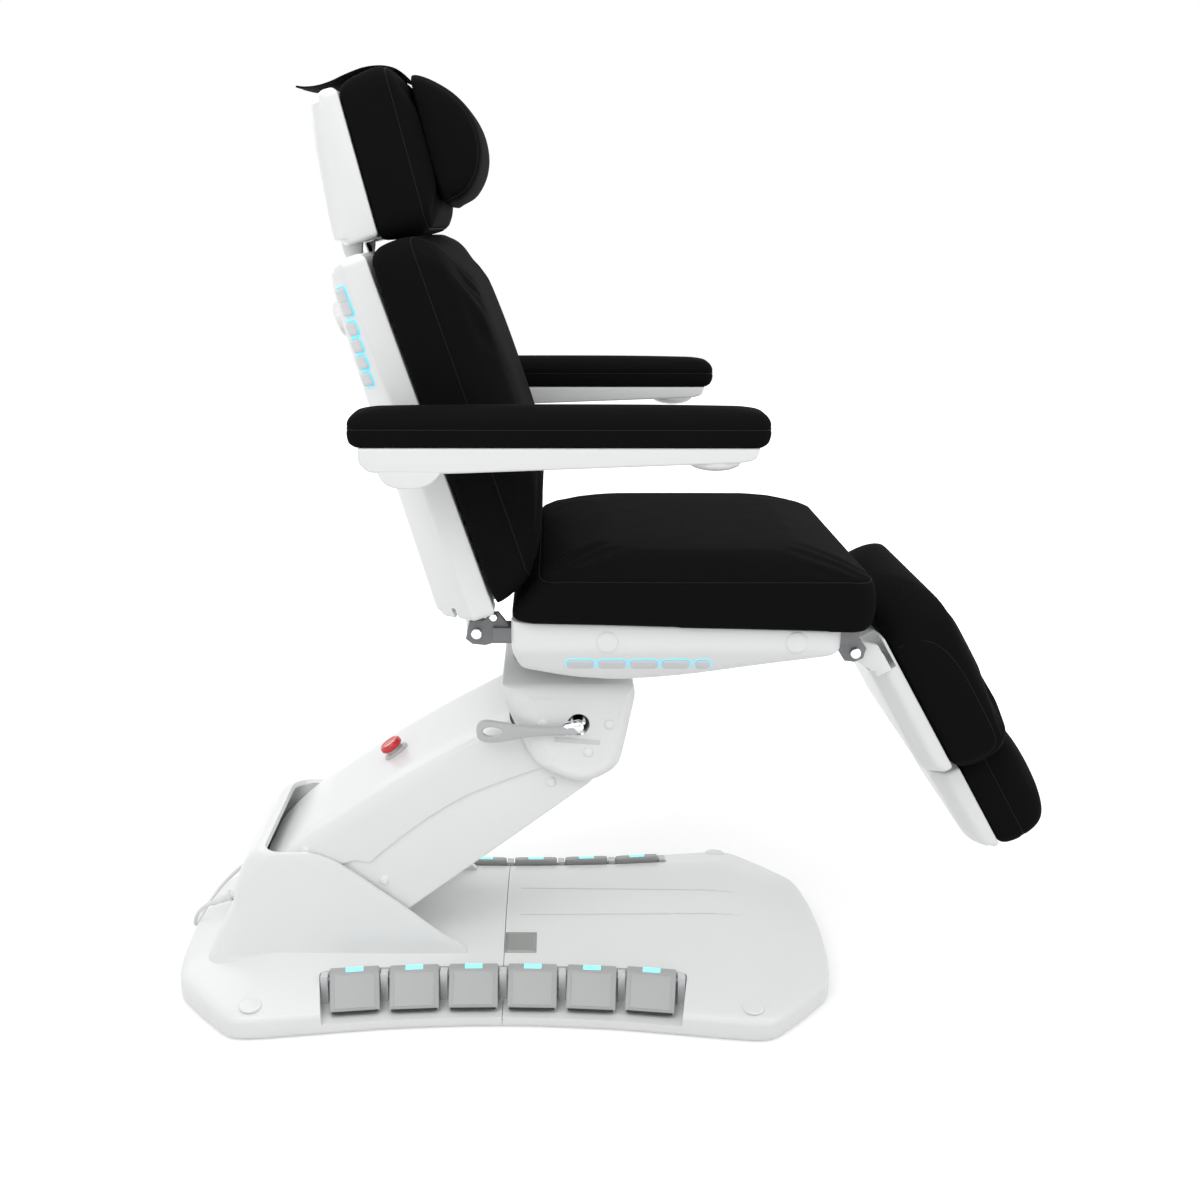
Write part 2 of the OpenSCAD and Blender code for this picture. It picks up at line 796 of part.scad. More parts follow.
// A rocker with a raised rim at both ends, on a round barrel
module back_rocker() {
  color(grey)
    at_back()
      at_chamfer(rocker_z) {
        side_plate([[-3.5, -19.2], [-3, -1], [-2, 0], [-3, 1], [-3.5, 19.2], [0.5, 19.2], [2.5, 6],
          [2.5, -6], [0.5, -19.2]], -14.5, 14.5);
        cross_bar([rocker_axis, 0, 0], 5, -14.5, 14.5);
      }
}

module back_frame() {
  color(steel)
    at_back()
      difference() {
        union() {
          both_sides() {
            box(-8, 22, lug_y - 29, lug_y - 1, 36, 560);
            box(-8, 22, lug_y - 39, lug_y + 12, 22, 60);
            side_plate([[-14, 4], [-8, 40], [22, 40], [14, -4]], lug_y, lug_y + 12);
            cross_bar([0, 0, 0], 16, lug_y, lug_y + 12);
            cross_bar(armrest_axle, axle_radius, lug_y - 9, armrest_offset + 20);
            translate([rod_x, rod_offset, 380]) cylinder(r = rod_radius + 4, h = 186);
          }
          box(-8, 22, 9 - lug_y, lug_y - 9, 372, 396);
          box(20, 24, 0.3 + wall - shell_half, shell_half - wall - 0.3, 36, 560);
          for (z = [60, 526]) box(23.9, 45.7, 9 - lug_y, lug_y - 9, z, z + 24);
        }
        cross_bar([0, 0, 0], hinge_pin + run_gap, -300, 300);
        both_sides()
          translate([rod_x, rod_offset, 370]) cylinder(r = rod_radius + run_gap, h = 220);
        translate([-60, 0, 500]) rotate([0, 90, 0]) cylinder(r = 6.4, h = 90);
      }
}

module back_cushion() {
  color(leather)
    at_back()
      panel_cushion([[46, -567, -36, back_half - 6, 24], [60, -578, -38, back_half, 30],
        [90, -580, -50, back_half + 1, 34], [104, -577, -60, back_half, 36],
        [108, -575.5, -63, back_half - 2.5, 36], [112, -576, -66, back_half - 1, 38],
        [130, -573, -84, back_half - 5, 42], [148, -567, -112, back_half - 14, 50],
        [158, -558, -138, back_half - 34, 60], [165, -530, -180, back_half - 80, 60],
        [168, -440, -270, back_half - 150, 40]]);
}

module head_knob() {
  color(white)
    at_back() {
      translate([-52.3, 0, 500]) rotate([0, -90, 0]) cylinder(r = 29, h = 18);
      translate([-54, 0, 500]) rotate([0, 90, 0]) cylinder(r = 6, h = 52);
    }
}

module head_rods() {
  color(chrome)
    at_back() {
      both_sides() {
        translate([rod_x, rod_offset, 400]) cylinder(r = rod_radius, h = 204);
        box(-8, 20, rod_offset - 12, rod_offset + 12, 597, 620);
      }
      box(-6, 18, -rod_offset, rod_offset, 598, 606);
      cross_bar(head_pin_back, 5, -86, 86);
    }
}

// Head rest

head_pin = let (d = from_back(head_pin_back) - head_origin)
  [d[0] * cos(head_lean) + d[2] * sin(head_lean), 0, d[2] * cos(head_lean) - d[0] * sin(head_lean)];
head_sections = [[5, -24, -14, 150], [16, -34, -22, 158], [120, -28, -14, 150],
  [200, -20, -4, 140], [215, -12, 4, 134]];

function head_ring(q, g) =
  [[33.5 + g, -head_half + 4 + g, q[0]], [33.5 + g, head_half - 4 - g, q[0]],
   [12, head_half - 4 - g, q[0]], [q[2] + g, head_half - 12 - g, q[0]],
   [q[1] + g, q[3] - g, q[0]], [q[1] + g, -q[3] + g, q[0]],
   [q[2] + g, -head_half + 12 + g, q[0]], [12, -head_half + 4 + g, q[0]]];

module head_shell() {
  color(white)
    at_head()
      difference() {
        union() {
          difference() {
            loft([for (q = head_sections) head_ring(q, 0)]);
            intersection() {
              loft([for (q = head_sections) head_ring(q, wall)]);
              box(-100, 100, -300, 300, 9, 211);
            }
          }
          both_sides() {
            cross_bar(head_pin, 11, 78, 84);
            box(-31, -10, 78, 84, 17, 31);
          }
        }
        box(-60, 36, -77, 77, -10, 48);
        cross_bar(head_pin, 5 + run_gap, -100, 100);
      }
}

module head_cushion() {
  color(leather)
    at_head()
      panel_cushion([[34, -215, 1, head_half - 6, 22], [46, -223, 3, head_half, 28],
        [64, -226, 3, head_half, 30], [68, -225, 0.5, head_half - 2.5, 30],
        [72, -227, 3, head_half, 30], [90, -229, 3, head_half, 32],
        [106, -224, 1, head_half - 2, 36], [118, -214, -6, head_half - 10, 42],
        [127, -196, -20, head_half - 30, 44], [131, -160, -50, head_half - 70, 40]]);
}

// Section of the pillow and its strap in the head rest's x and z
pillow_side = [[132, 34], [150, 25], [168, 28], [184, 40], [198, 58], [207, 80], [210, 104],
  [208, 128], [200, 152], [186, 174], [168, 192], [150, 206], [136, 212], [132, 200]];

module head_pillow() {
  color(leather)
    at_head() {
      loft([for (q = [[-pillow_half, 0.72], [-pillow_half + 7, 0.9], [-pillow_half + 20, 0.98],
          [-pillow_half + 46, 1], [pillow_half - 46, 1], [pillow_half - 20, 0.98],
          [pillow_half - 7, 0.9], [pillow_half, 0.72]])
        [for (p = pillow_side) [132 + (p[0] - 132) * q[1], -q[0], 118 + (p[1] - 118) * q[1]]]]);
      side_plate([[136, 205], [124, 222], [108, 231], [88, 235], [60, 233], [30, 227],
        [-20, 221], [-20, 223.5], [28, 230], [60, 236], [88, 238], [110, 234], [128, 224],
        [142, 206]], -105, 105);
    }
}

// Arm rests, drawn for the +Y side

armrest_pivot = from_back(armrest_axle);

module armrest_shell() {
  y0 = armrest_offset - armrest_width / 2 + 3;
  y1 = armrest_offset + armrest_width / 2 - 3;
  color(white) difference() {
    union() {
      side_plate([[-180, 980], [-182, 962], [-168, 948], [-60, 946], [340, 961], [358, 966],
        [362, 980]], y0, y1);
      side_plate([[-158, 950], [-148, 932], [-132, 925], [-98, 925], [-80, 933], [-66, 950]],
        y0, y1 - 6);
      translate([305, armrest_offset, 950]) cylinder(r1 = 16, r2 = 26, h = 14);
      translate([305, armrest_offset, 940]) cylinder(r1 = 10, r2 = 16, h = 10.1);
    }
    cross_bar(armrest_pivot, axle_radius + run_gap, 200, armrest_offset + 22);
  }
}

module armrest_pad() {
  color(leather) translate([0, armrest_offset, 0])
    cushion([[980.4, -188, 368, armrest_width / 2 - 4, 12],
      [986, -196, 376, armrest_width / 2, 16], [1003, -198, 379, armrest_width / 2 + 0.5, 18],
      [1006, -197, 378, armrest_width / 2 - 1, 18], [1009, -198, 379, armrest_width / 2, 18],
      [1022, -194, 374, armrest_width / 2 - 5, 18], [1028, -184, 364, armrest_width / 2 - 12, 18],
      [1031, -160, 340, armrest_width / 2 - 26, 14]]);
}

// Leg rest

module leg_frame() {
  color(steel)
    at_leg()
      difference() {
        union() {
          both_sides() {
            side_plate([[-14, 4], [10, -46], [36, -46], [36, -14], [14, 8]], lug_y, lug_y + 12);
            cross_bar([0, 0, 0], 15, lug_y, lug_y + 12);
          }
          box(13, 37, -lug_y - 11, lug_y + 11, -58, -30);
          box(13, 37, -tongue_half - 4, tongue_half + 4, -238, -57);
          box(36.9, 49.8, -150, 150, -58, -44);
        }
        cross_bar([0, 0, 0], hinge_pin + run_gap, -300, 300);
        box(17, 33, -tongue_half, tongue_half, -300, -62);
      }
}

module leg_shell() {
  color(white)
    at_leg()
      difference() {
        hull() {
          side_plate([[28, -12], [50, -6], [50, -228], [28, -236]], -leg_half + 12, leg_half - 12);
          side_plate([[7, -12], [50, -6], [50, -236], [7, -252]], -leg_half + 50, leg_half - 50);
        }
        hull() {
          side_plate([[30, -16], [46, -16], [46, -260], [30, -260]], -leg_half + 17,
            leg_half - 17);
          side_plate([[11, -16], [46, -16], [46, -260], [11, -260]], -leg_half + 54,
            leg_half - 54);
        }
        both_sides() box(-20, 45.9, lug_y - 44, hinge_y + 12, -60, 30);
        box(35, 60, -151, 151, -61, -43);
      }
}

module leg_cushion() {
  color(leather)
    at_leg()
      panel_cushion([[50.4, 27, 256, leg_half - 8, 20], [60, 27, 263, leg_half, 26],
        [84, 27, 262, leg_half, 28], [88, 28.5, 260, leg_half - 2.5, 28],
        [92, 27, 261, leg_half, 28], [118, 27, 255, leg_half - 1, 32],
        [136, 27.5, 244, leg_half - 10, 38], [147, 31, 230, leg_half - 28, 42],
        [153, 44, 205, leg_half - 66, 40], [156, 70, 170, leg_half - 120, 30]]);
}

// The soft end of the leg cushion toward the seat: [out of the leg, up the leg] at its middle
gusset_foot = -26.4;
gusset_middle = 103;
gusset_side = [[52, gusset_foot], [154, gusset_foot], [156, -14], [152, 2], [143, 16], [130, 27],
  [112, 36], [94, 41], [76, 43], [60, 40], [48, 32], [41, 18], [42, 4], [52, -4]];

// It sinks and narrows to its sides: shares of the half width, of the height and of the depth
gusset_rows = [[0, 1, 1], [0.36, 0.9, 0.97], [0.6, 0.72, 0.88], [0.78, 0.52, 0.83],
  [0.9, 0.35, 0.82], [0.97, 0.2, 0.8]];

function gusset_ring(y, height, depth) =
  [for (p = gusset_side)
    [gusset_middle + (p[0] - gusset_middle) * depth, y,
      gusset_foot + (p[1] - gusset_foot) * height]];

module leg_gusset() {
  n = len(gusset_rows) - 1;
  color(leather)
    at_leg()
      loft([for (k = [-n:n])
        let (q = gusset_rows[abs(k)])
          gusset_ring(-sign(k) * q[0] * leg_half, q[1], q[2])]);
}

module foot_shell() {
  color(white)
    at_leg() {
      difference() {
        hull() {
          side_plate([[16, -292], [62, -300], [62, -434], [29, -427], [20, -407]],
            -foot_half + 40, foot_half - 40);
          side_plate([[36, -296], [62, -300], [62, -434], [40, -424]], -foot_half + 6,
            foot_half - 6);
        }
        box(24, 58, -foot_half + 30, foot_half - 30, -420, -304);
      }
      box(17 + slide_gap, 33 - slide_gap, slide_gap - tongue_half, tongue_half - slide_gap,
        -310, -70);
    }
}

module foot_cushion() {
  color(leather)
    at_leg()
      panel_cushion([[62.4, 312, 436, foot_half - 8, 20], [74, 302, 446, foot_half - 1, 28],
        [100, 294, 447, foot_half, 30], [104, 294.5, 445, foot_half - 2.5, 30],
        [108, 293, 446, foot_half, 30], [130, 291, 441, foot_half - 1, 34],
        [146, 298, 432, foot_half - 10, 40], [156, 316, 412, foot_half - 30, 40],
        [160, 342, 388, foot_half - 70, 22]]);
}

// Cord

way_out = (cord_route[0] - gland_start) / norm(cord_route[0] - gland_start);

module along_gland() {
  translate(gland_start)
    rotate([0, atan2(norm([way_out[0], way_out[1]]), way_out[2]), atan2(way_out[1], way_out[0])])
      children();
}

module cord_gland() {
  color(white)
    along_gland() {
      translate([0, 0, -8]) cylinder(r = 7, h = 31);
      translate([0, 0, 19.5]) cylinder(r = 10, h = 4);
      translate([0, 0, 22]) cylinder(r1 = 7, r2 = 4.6, h = norm(cord_route[0] - gland_start) - 22);
      for (k = [0:3])
        translate([0, 0, 27 + 7 * k]) cylinder(r = 7 - 0.3 * k, h = 3.4);
    }
}

// Directions at each point of a route, and the ring of the tube there
function way_at(r, i) = let (a = r[max(0, i - 1)], b = r[min(len(r) - 1, i + 1)])
  (b - a) / norm(b - a);
function tube_ring(r, i, radius, sides) =
  let (d = way_at(r, i), flat = norm([d[0], d[1]]),
    u = flat > 0.01 ? [-d[1], d[0], 0] / flat : [0, 1, 0],
    v = cross(d, u))
  [for (k = [0:sides - 1]) let (a = 360 * k / sides)
    r[i] + radius * (cos(a) * u + sin(a) * v)];

module tube(route, radius, sides) {
  loft([for (i = [0:len(route) - 1]) tube_ring(route, i, radius, sides)]);
}

module cord_run() {
  color(white) tube(cord_route, cord_radius, cord_sides);
}

coil_sides = 6;
coil_rings = 24;
coil_path = [for (i = [0:coil_turns * coil_rings]) let (a = -90 + 360 * i / coil_rings)
  [coil_middle[0] + coil_radius * cos(a), coil_middle[1] + coil_radius * sin(a),
   cord_route[len(cord_route) - 1][2] + coil_rise * i / coil_rings]];
coil_line = concat(coil_path, coil_tail);
coil_last = len(coil_line) - 1;
coil_surface = [for (i = [0:coil_last]) tube_ring(coil_line, i, cord_radius, coil_sides)];
coil_gap = min([for (i = [0:coil_last - 14], j = [i + 14:min(i + 34, coil_last)],
  p = coil_surface[i], q = coil_surface[j]) norm(p - q)]);
echo(least_gap_of_the_coil_to_itself = coil_gap);

module cord_coil() {
  color(white) loft(coil_surface);
}

module plug() {
  tip = coil_line[coil_last];
  color(white)
    translate(tip)
      rotate([0, 90, 0]) {
        cylinder(r1 = 5, r2 = 9, h = 14);
        translate([0, 0, 13.9]) cylinder(r = 17, h = plug_length - 14);
        for (x = [-9.5, 9.5])
          translate([x, 0, plug_length - 0.5]) cylinder(r = 2.4, h = 19);
      }
}

base_frame();
base_shell_head();
base_shell_foot();
cord_gland();
cord_run();
cord_coil();
plug();
pedal("r", 0);  // pedal_r1
pedal("r", 1);  // pedal_r2
pedal("r", 2);  // pedal_r3
pedal("r", 3);  // pedal_r4
pedal("r", 4);  // pedal_r5
pedal("r", 5);  // pedal_r6
pedal("l", 0);  // pedal_l1
pedal("l", 1);  // pedal_l2
pedal("l", 2);  // pedal_l3
pedal("l", 3);  // pedal_l4
pedal("l", 4);  // pedal_l5
pedal("l", 5);  // pedal_l6
lift_link();
lift_cover();
lift_actuator();
estop_button();
parallel_link();
lift_head_frame();
lift_head_casing();
lock_lever();
turntable();
seat_frame();
seat_shell();
seat_cushion();
seat_actuators();
seat_key(0);  // seat_key_1
seat_key(1);  // seat_key_2
seat_key(2);  // seat_key_3
seat_key(3);  // seat_key_4
seat_key(4);  // seat_key_5
back_frame();
back_shell();
back_cushion();
back_rocker();
back_key(0);  // back_key_1
back_key(1);  // back_key_2
back_key(2);  // back_key_3
back_key(3);  // back_key_4
head_knob();
head_rods();
head_shell();
head_cushion();
head_pillow();
mirror([0, 1, 0]) armrest_shell();  // armrest_shell_r
mirror([0, 1, 0]) armrest_pad();  // armrest_pad_r
armrest_shell();  // armrest_shell_l
armrest_pad();  // armrest_pad_l
leg_frame();
leg_shell();
leg_cushion();
leg_gusset();
foot_shell();
foot_cushion();
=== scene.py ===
"""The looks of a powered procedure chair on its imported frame: covers, upholstery and stage."""

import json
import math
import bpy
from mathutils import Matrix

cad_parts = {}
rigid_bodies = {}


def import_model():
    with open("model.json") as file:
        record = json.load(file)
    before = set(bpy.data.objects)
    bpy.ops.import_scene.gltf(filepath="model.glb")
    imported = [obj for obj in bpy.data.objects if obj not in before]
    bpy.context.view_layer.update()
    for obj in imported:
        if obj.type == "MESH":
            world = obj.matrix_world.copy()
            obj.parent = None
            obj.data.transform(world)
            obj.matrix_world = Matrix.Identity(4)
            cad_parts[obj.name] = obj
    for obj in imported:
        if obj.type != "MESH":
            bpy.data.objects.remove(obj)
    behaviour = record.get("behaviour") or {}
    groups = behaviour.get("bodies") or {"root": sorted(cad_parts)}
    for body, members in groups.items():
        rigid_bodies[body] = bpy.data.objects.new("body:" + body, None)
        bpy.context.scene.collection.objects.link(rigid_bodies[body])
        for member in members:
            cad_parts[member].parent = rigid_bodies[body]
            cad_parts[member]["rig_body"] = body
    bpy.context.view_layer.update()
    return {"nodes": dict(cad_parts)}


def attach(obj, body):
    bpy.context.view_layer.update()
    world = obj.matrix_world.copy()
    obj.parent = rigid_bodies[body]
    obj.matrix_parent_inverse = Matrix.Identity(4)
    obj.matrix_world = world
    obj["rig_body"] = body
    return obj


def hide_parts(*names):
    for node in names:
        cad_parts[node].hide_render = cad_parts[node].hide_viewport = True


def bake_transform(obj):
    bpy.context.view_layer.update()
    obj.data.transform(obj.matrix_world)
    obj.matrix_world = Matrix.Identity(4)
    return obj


bl_info = {
    "name": "Procedure Chair",
    "version": (1, 0, 0),
    "blender": (4, 5, 0),
    "location": "View3D > Sidebar > Procedure Chair",
    "description": "Covers, upholstery and fittings of a powered procedure chair on its frame",
    "category": "Add Mesh",
}

import bmesh
import bpy
import numpy as np
from bpy.props import BoolProperty, FloatProperty, FloatVectorProperty, PointerProperty
from mathutils import Vector
from mathutils.bvhtree import BVHTree

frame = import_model()

# Places in the part's millimetres. A leaning frame is its pivot and its lean in degrees
WORLD = ((0, 0, 0), 0)
BACK = ((-33, 0, 674), 18.7)
HEAD = ((-200, 0, 1240), 14.4)
LEG = ((543, 0, 644), 30)
ARM = ((-345, 0, 215), 34)
LOW_ARM = ((-283, 0, 157), 34)
SEAT_SLOPE = -0.028
PEDAL_X = [(k - 2.5) * 99 for k in range(6)]
PEDAL_TURN = [-7, -4, -1.2, 1.2, 4, 7]
PEDAL_OUT = [11, 4, 0, 0, 4, 11]
BACK_KEY_ROW = [484, 459.3, 434.7, 410]
LOCK_X, LOCK_Z = 124, 496
STOP_ALONG = 220
SIDES = (("r", -1), ("l", 1))

# Details in metres: a screw cap's rise, and a seam's valley with the welt sunk in it
CAP_RISE = 0.004
VALLEY_DEPTH, VALLEY_WIDTH, WELT_DEPTH = 0.0016, 0.0045, 0.0012

CAMERA_PLACE, CAMERA_TURN = (0.0852, -2.1145, 1.2717), (73.84, 0, 0.3)
LAMPS_LOOK_AT = (0, 0, 0.65)
FLOOR_RADIUS, FLOOR_SIDES = 9, 64
CLOTH_STEPS = 20


def colour_prop(name, description, default):
    return FloatVectorProperty(
        name=name, description=description, subtype="COLOR", size=3, min=0, max=1, default=default)


def length_prop(name, description, default):
    return FloatProperty(name=name, description=description, subtype="DISTANCE", unit="LENGTH",
                         min=0, default=default, precision=4)


class ChairColours(bpy.types.PropertyGroup):
    """Colours of the chair's finishes"""

    shell: colour_prop("Shell", "Moulded covers", (0.83, 0.84, 0.84))
    leather: colour_prop("Leather", "Upholstery", (0.0062, 0.0062, 0.0065))
    pedal: colour_prop("Pedal", "Pedal bodies", (0.43, 0.435, 0.435))
    tread: colour_prop("Tread", "Raised tread of the pedals", (0.47, 0.475, 0.475))
    key: colour_prop("Key", "Keys on the seat and the back", (0.68, 0.69, 0.70))
    light: colour_prop("Light", "Lit outlines and labels", (0.12, 0.72, 0.95))
    stop: colour_prop("Stop", "Emergency stop", (0.66, 0.014, 0.016))
    handle: colour_prop("Handle", "Loop handle", (0.50, 0.505, 0.51))
    bracket: colour_prop("Bracket", "Painted brackets", (0.17, 0.175, 0.18))
    bright: colour_prop("Bright", "Chromed and zinc-plated steel", (0.78, 0.79, 0.80))


class ChairSizes(bpy.types.PropertyGroup):
    """Sizes of the details that only the looks have"""

    voxel: length_prop("Voxel", "Grid of the upholstery before it is inflated", 0.0062)
    swell: length_prop("Swell", "Farthest that the upholstery may swell", 0.007)
    seam: length_prop("Seam", "Radius of the sewn seams", 0.0009)
    light_line: length_prop("Light line", "Radius of the lit outlines", 0.0009)
    cap: length_prop("Cap", "Radius of the screw caps", 0.0085)
    groove: length_prop("Groove", "Depth of the grooves in the deck", 0.0034)


class ChairStage(bpy.types.PropertyGroup):
    """Camera and lamps"""

    lens: FloatProperty(name="Lens", description="Focal length of the camera", default=39.0,
                        unit="CAMERA")
    shift: FloatProperty(name="Shift", description="Sideways shift of the camera", default=0.0433)
    key: FloatProperty(name="Key", description="Power of the main lamp", default=34, unit="POWER")
    fill: FloatProperty(name="Fill", description="Power of the filling lamps", default=16,
                        unit="POWER")
    ambient: FloatProperty(name="Ambient", description="Strength of the world", default=0.62)
    simulate: BoolProperty(name="Simulate", description="Inflate the upholstery as cloth",
                           default=True)


# Shapes as arrays


def placed(points, at=WORLD):
    """Millimetres of a leaning frame as metres: x and z turn by the lean and move to the pivot."""
    (px, py, pz), lean = at
    c, s = math.cos(math.radians(lean)), math.sin(math.radians(lean))
    x, y, z = np.moveaxis(np.asarray(points, float), -1, 0)
    return np.stack([x * c - z * s + px, y + py, x * s + z * c + pz], -1) * 0.001


def unit(v):
    """Vectors over their own length."""
    return v / np.maximum(np.linalg.norm(v, axis=-1, keepdims=True), 1e-9)


def smooth(points, per=6, closed=False):
    """Catmull-Rom: each cubic's slope at a point is half the step between its neighbours."""
    p = np.asarray(points, float)
    if closed:
        a, b, c, d = np.roll(p, 1, 0), p, np.roll(p, -1, 0), np.roll(p, -2, 0)
    else:
        q = np.concatenate([2 * p[:1] - p[1:2], p, 2 * p[-1:] - p[-2:-1]])
        a, b, c, d = q[:-3], q[1:-2], q[2:-1], q[3:]
    t = (np.arange(per) / per).reshape((1, per) + (1,) * (p.ndim - 1))
    a, b, c, d = (v[:, None] for v in (a, b, c, d))
    curve = 0.5 * (2 * b + (c - a) * t + (2 * a - 5 * b + 4 * c - d) * t**2
                   + (3 * b - a - 3 * c + d) * t**3)
    curve = curve.reshape((-1,) + p.shape[1:])
    return curve if closed else np.concatenate([curve, p[-1:]])


def even(path, count):
    """The path at equal steps of its length."""
    path = np.asarray(path, float)
    along = np.concatenate([[0], np.cumsum(np.linalg.norm(np.diff(path, axis=0), axis=1))])
    at = np.linspace(0, along[-1], count)
    return np.stack([np.interp(at, along, path[:, k]) for k in range(path.shape[1])], -1)


def softened(outline, radius, steps=5):
    """Each corner B becomes the arc (1-t)^2 A + 2t(1-t) B + t^2 C, with A and C on its sides."""
    b = np.asarray(outline, float)
    back, on = np.roll(b, 1, 0) - b, np.roll(b, -1, 0) - b
    lb, lo = np.linalg.norm(back, axis=1), np.linalg.norm(on, axis=1)
    r = np.broadcast_to(np.asarray(radius, float), len(b))
    a = b + unit(back) * np.minimum(r, lb * 0.47)[:, None]
    c = b + unit(on) * np.minimum(r, lo * 0.47)[:, None]
    t = np.linspace(0, 1, steps + 1)[None, :, None]
    arc = (1 - t) ** 2 * a[:, None] + 2 * t * (1 - t) * b[:, None] + t * t * c[:, None]
    return arc.reshape(-1, 2)


def round_rect(a0, a1, half, radius, steps=8):
    """A rectangle from a0 to a1 and half to each side, its corners quarter circles."""
    turn = np.radians(np.add.outer(90 * np.arange(4), np.linspace(0, 90, steps + 1)))
    cx = np.array([a1 - radius, a0 + radius, a0 + radius, a1 - radius])[:, None]
    cy = np.array([half - radius, half - radius, radius - half, radius - half])[:, None]
    return np.stack([cx + radius * np.cos(turn), cy + radius * np.sin(turn)], -1).reshape(-1, 2)


def drawn_in(outline, distance):
    """The outline moved inward along the bisector of the two sides at each point."""
    p = np.asarray(outline, float)
    ahead, behind = unit(np.roll(p, -1, 0) - p), unit(p - np.roll(p, 1, 0))
    area = np.sum(p[:, 0] * np.roll(p[:, 1], -1) - np.roll(p[:, 0], -1) * p[:, 1])
    way = unit(ahead + behind)
    normal = np.stack([-way[:, 1], way[:, 0]], -1) * np.sign(area)
    side = np.stack([-ahead[:, 1], ahead[:, 0]], -1) * np.sign(area)
    return p + normal * (distance / np.maximum(0.6, np.sum(normal * side, 1)))[:, None]


def rounded_in(corners, radii, distance, steps=5):
    """The polygon drawn in by the distance, then given corners that are tighter by as much."""
    radii = np.broadcast_to(np.asarray(radii, float), len(corners))
    return softened(drawn_in(corners, distance), np.maximum(radii - distance, 0.6), steps)


def eased(shapes, radii, heights, low, high, steps=5, arc=5):
    """Polygons with round corners at their heights, with a quarter round at both ends."""
    shapes, heights = np.asarray(shapes, float), np.asarray(heights, float)
    up = np.sign(heights[-1] - heights[0])
    a = np.radians(np.linspace(0, 90, steps + 1))[:-1]
    inset = [low * (1 - math.sin(v)) for v in a] if low else []
    rise = [low * (1 - math.cos(v)) for v in a] if low else []
    rows = [(shapes[0], d, heights[0] + up * h) for d, h in zip(inset, rise)]
    reach = (heights - heights[0]) * up
    keep = (reach > low + 1e-6) & (reach < reach[-1] - high - 1e-6)
    rows += [(shapes[0], 0, heights[0] + up * low)]
    rows += [(shape, 0, height) for shape, height in zip(shapes[keep], heights[keep])]
    rows += [(shapes[-1], 0, heights[-1] - up * high)]
    inset = [high * (1 - math.sin(v)) for v in a[::-1]] if high else []
    rise = [high * (1 - math.cos(v)) for v in a[::-1]] if high else []
    rows += [(shapes[-1], d, heights[-1] - up * h) for d, h in zip(inset, rise)]
    return [(rounded_in(shape, radii, d, arc), h) for shape, d, h in rows]


def slab_rings(corners, y0, y1, edge, radii=0.6, arc=5):
    """Rings of an upright plate: corners in x and z, from y0 to y1, its edges rounded."""
    rows = eased([corners, corners], radii, [y0, y1], edge, edge, 5, arc)
    return np.array([np.stack([o[:, 0], np.full(len(o), h), o[:, 1]], -1) for o, h in rows])


def tower_rings(shapes, radii, heights, low, high, per=5):
    """Rings of a body that stands on x and y and changes with its height along z."""
    levels = smooth(np.asarray(heights, float)[:, None], per)[:, 0]
    rows = eased(smooth(shapes, per), radii, levels, low, high)
    return np.array([np.concatenate([o, np.full((len(o), 1), h)], 1) for o, h in rows])


def lathe_rings(profile, count=48):
    """A profile of radius and height turned round the Z axis."""
    turn = np.linspace(0, 2 * math.pi, count, endpoint=False)
    r, h = np.asarray(profile, float).T
    return np.stack([np.outer(r, np.cos(turn)), np.outer(r, np.sin(turn)),
                     np.repeat(h[:, None], count, 1)], -1)


def facing(rings, centre, way):
    """Rings made round Z, moved to the centre and turned so that Z looks along the way."""
    w = unit(np.asarray(way, float))
    u = unit(np.cross([0.3, 1, 0.2], w))
    v = np.cross(w, u)
    return np.asarray(centre, float) + rings[..., :1] * u + rings[..., 1:2] * v + rings[..., 2:] * w


def tube_rings(path, radius, sides=8, flat=(0, 0, 1), closed=False):
    """A circle at each point of the path, square to it and level with the flat direction."""
    p = np.asarray(path, float)
    if closed:
        way = unit(np.roll(p, -1, 0) - np.roll(p, 1, 0))
    else:
        way = unit(np.gradient(p, axis=0))
    u = unit(np.cross(way, np.broadcast_to(np.asarray(flat, float), way.shape)))
    v = np.cross(u, way)
    turn = np.linspace(0, 2 * math.pi, sides, endpoint=False)[None, :, None]
    return p[:, None] + radius * (np.cos(turn) * u[:, None] + np.sin(turn) * v[:, None])


def ring_faces(rows, count, ends=True, around=False):
    """Quads between neighbouring rings, with a face over each end or quads back to the first."""
    i = np.arange(rows if around else rows - 1)[:, None]
    j, k = np.arange(count)[None], (np.arange(count)[None] + 1) % count
    up = (i + 1) % rows
    quads = np.stack(np.broadcast_arrays(i * count + j, i * count + k, up * count + k,
                                         up * count + j), -1).reshape(-1, 4).tolist()
    if ends and not around:
        quads += [list(range(count))[::-1], list(range((rows - 1) * count, rows * count))]
    return quads


# Finishes


def node_of(tree, kind, **values):
    node = tree.nodes.new(kind)
    for name, value in values.items():
        if hasattr(node, name):
            setattr(node, name, value)
        else:
            node.inputs[name].default_value = value
    return node


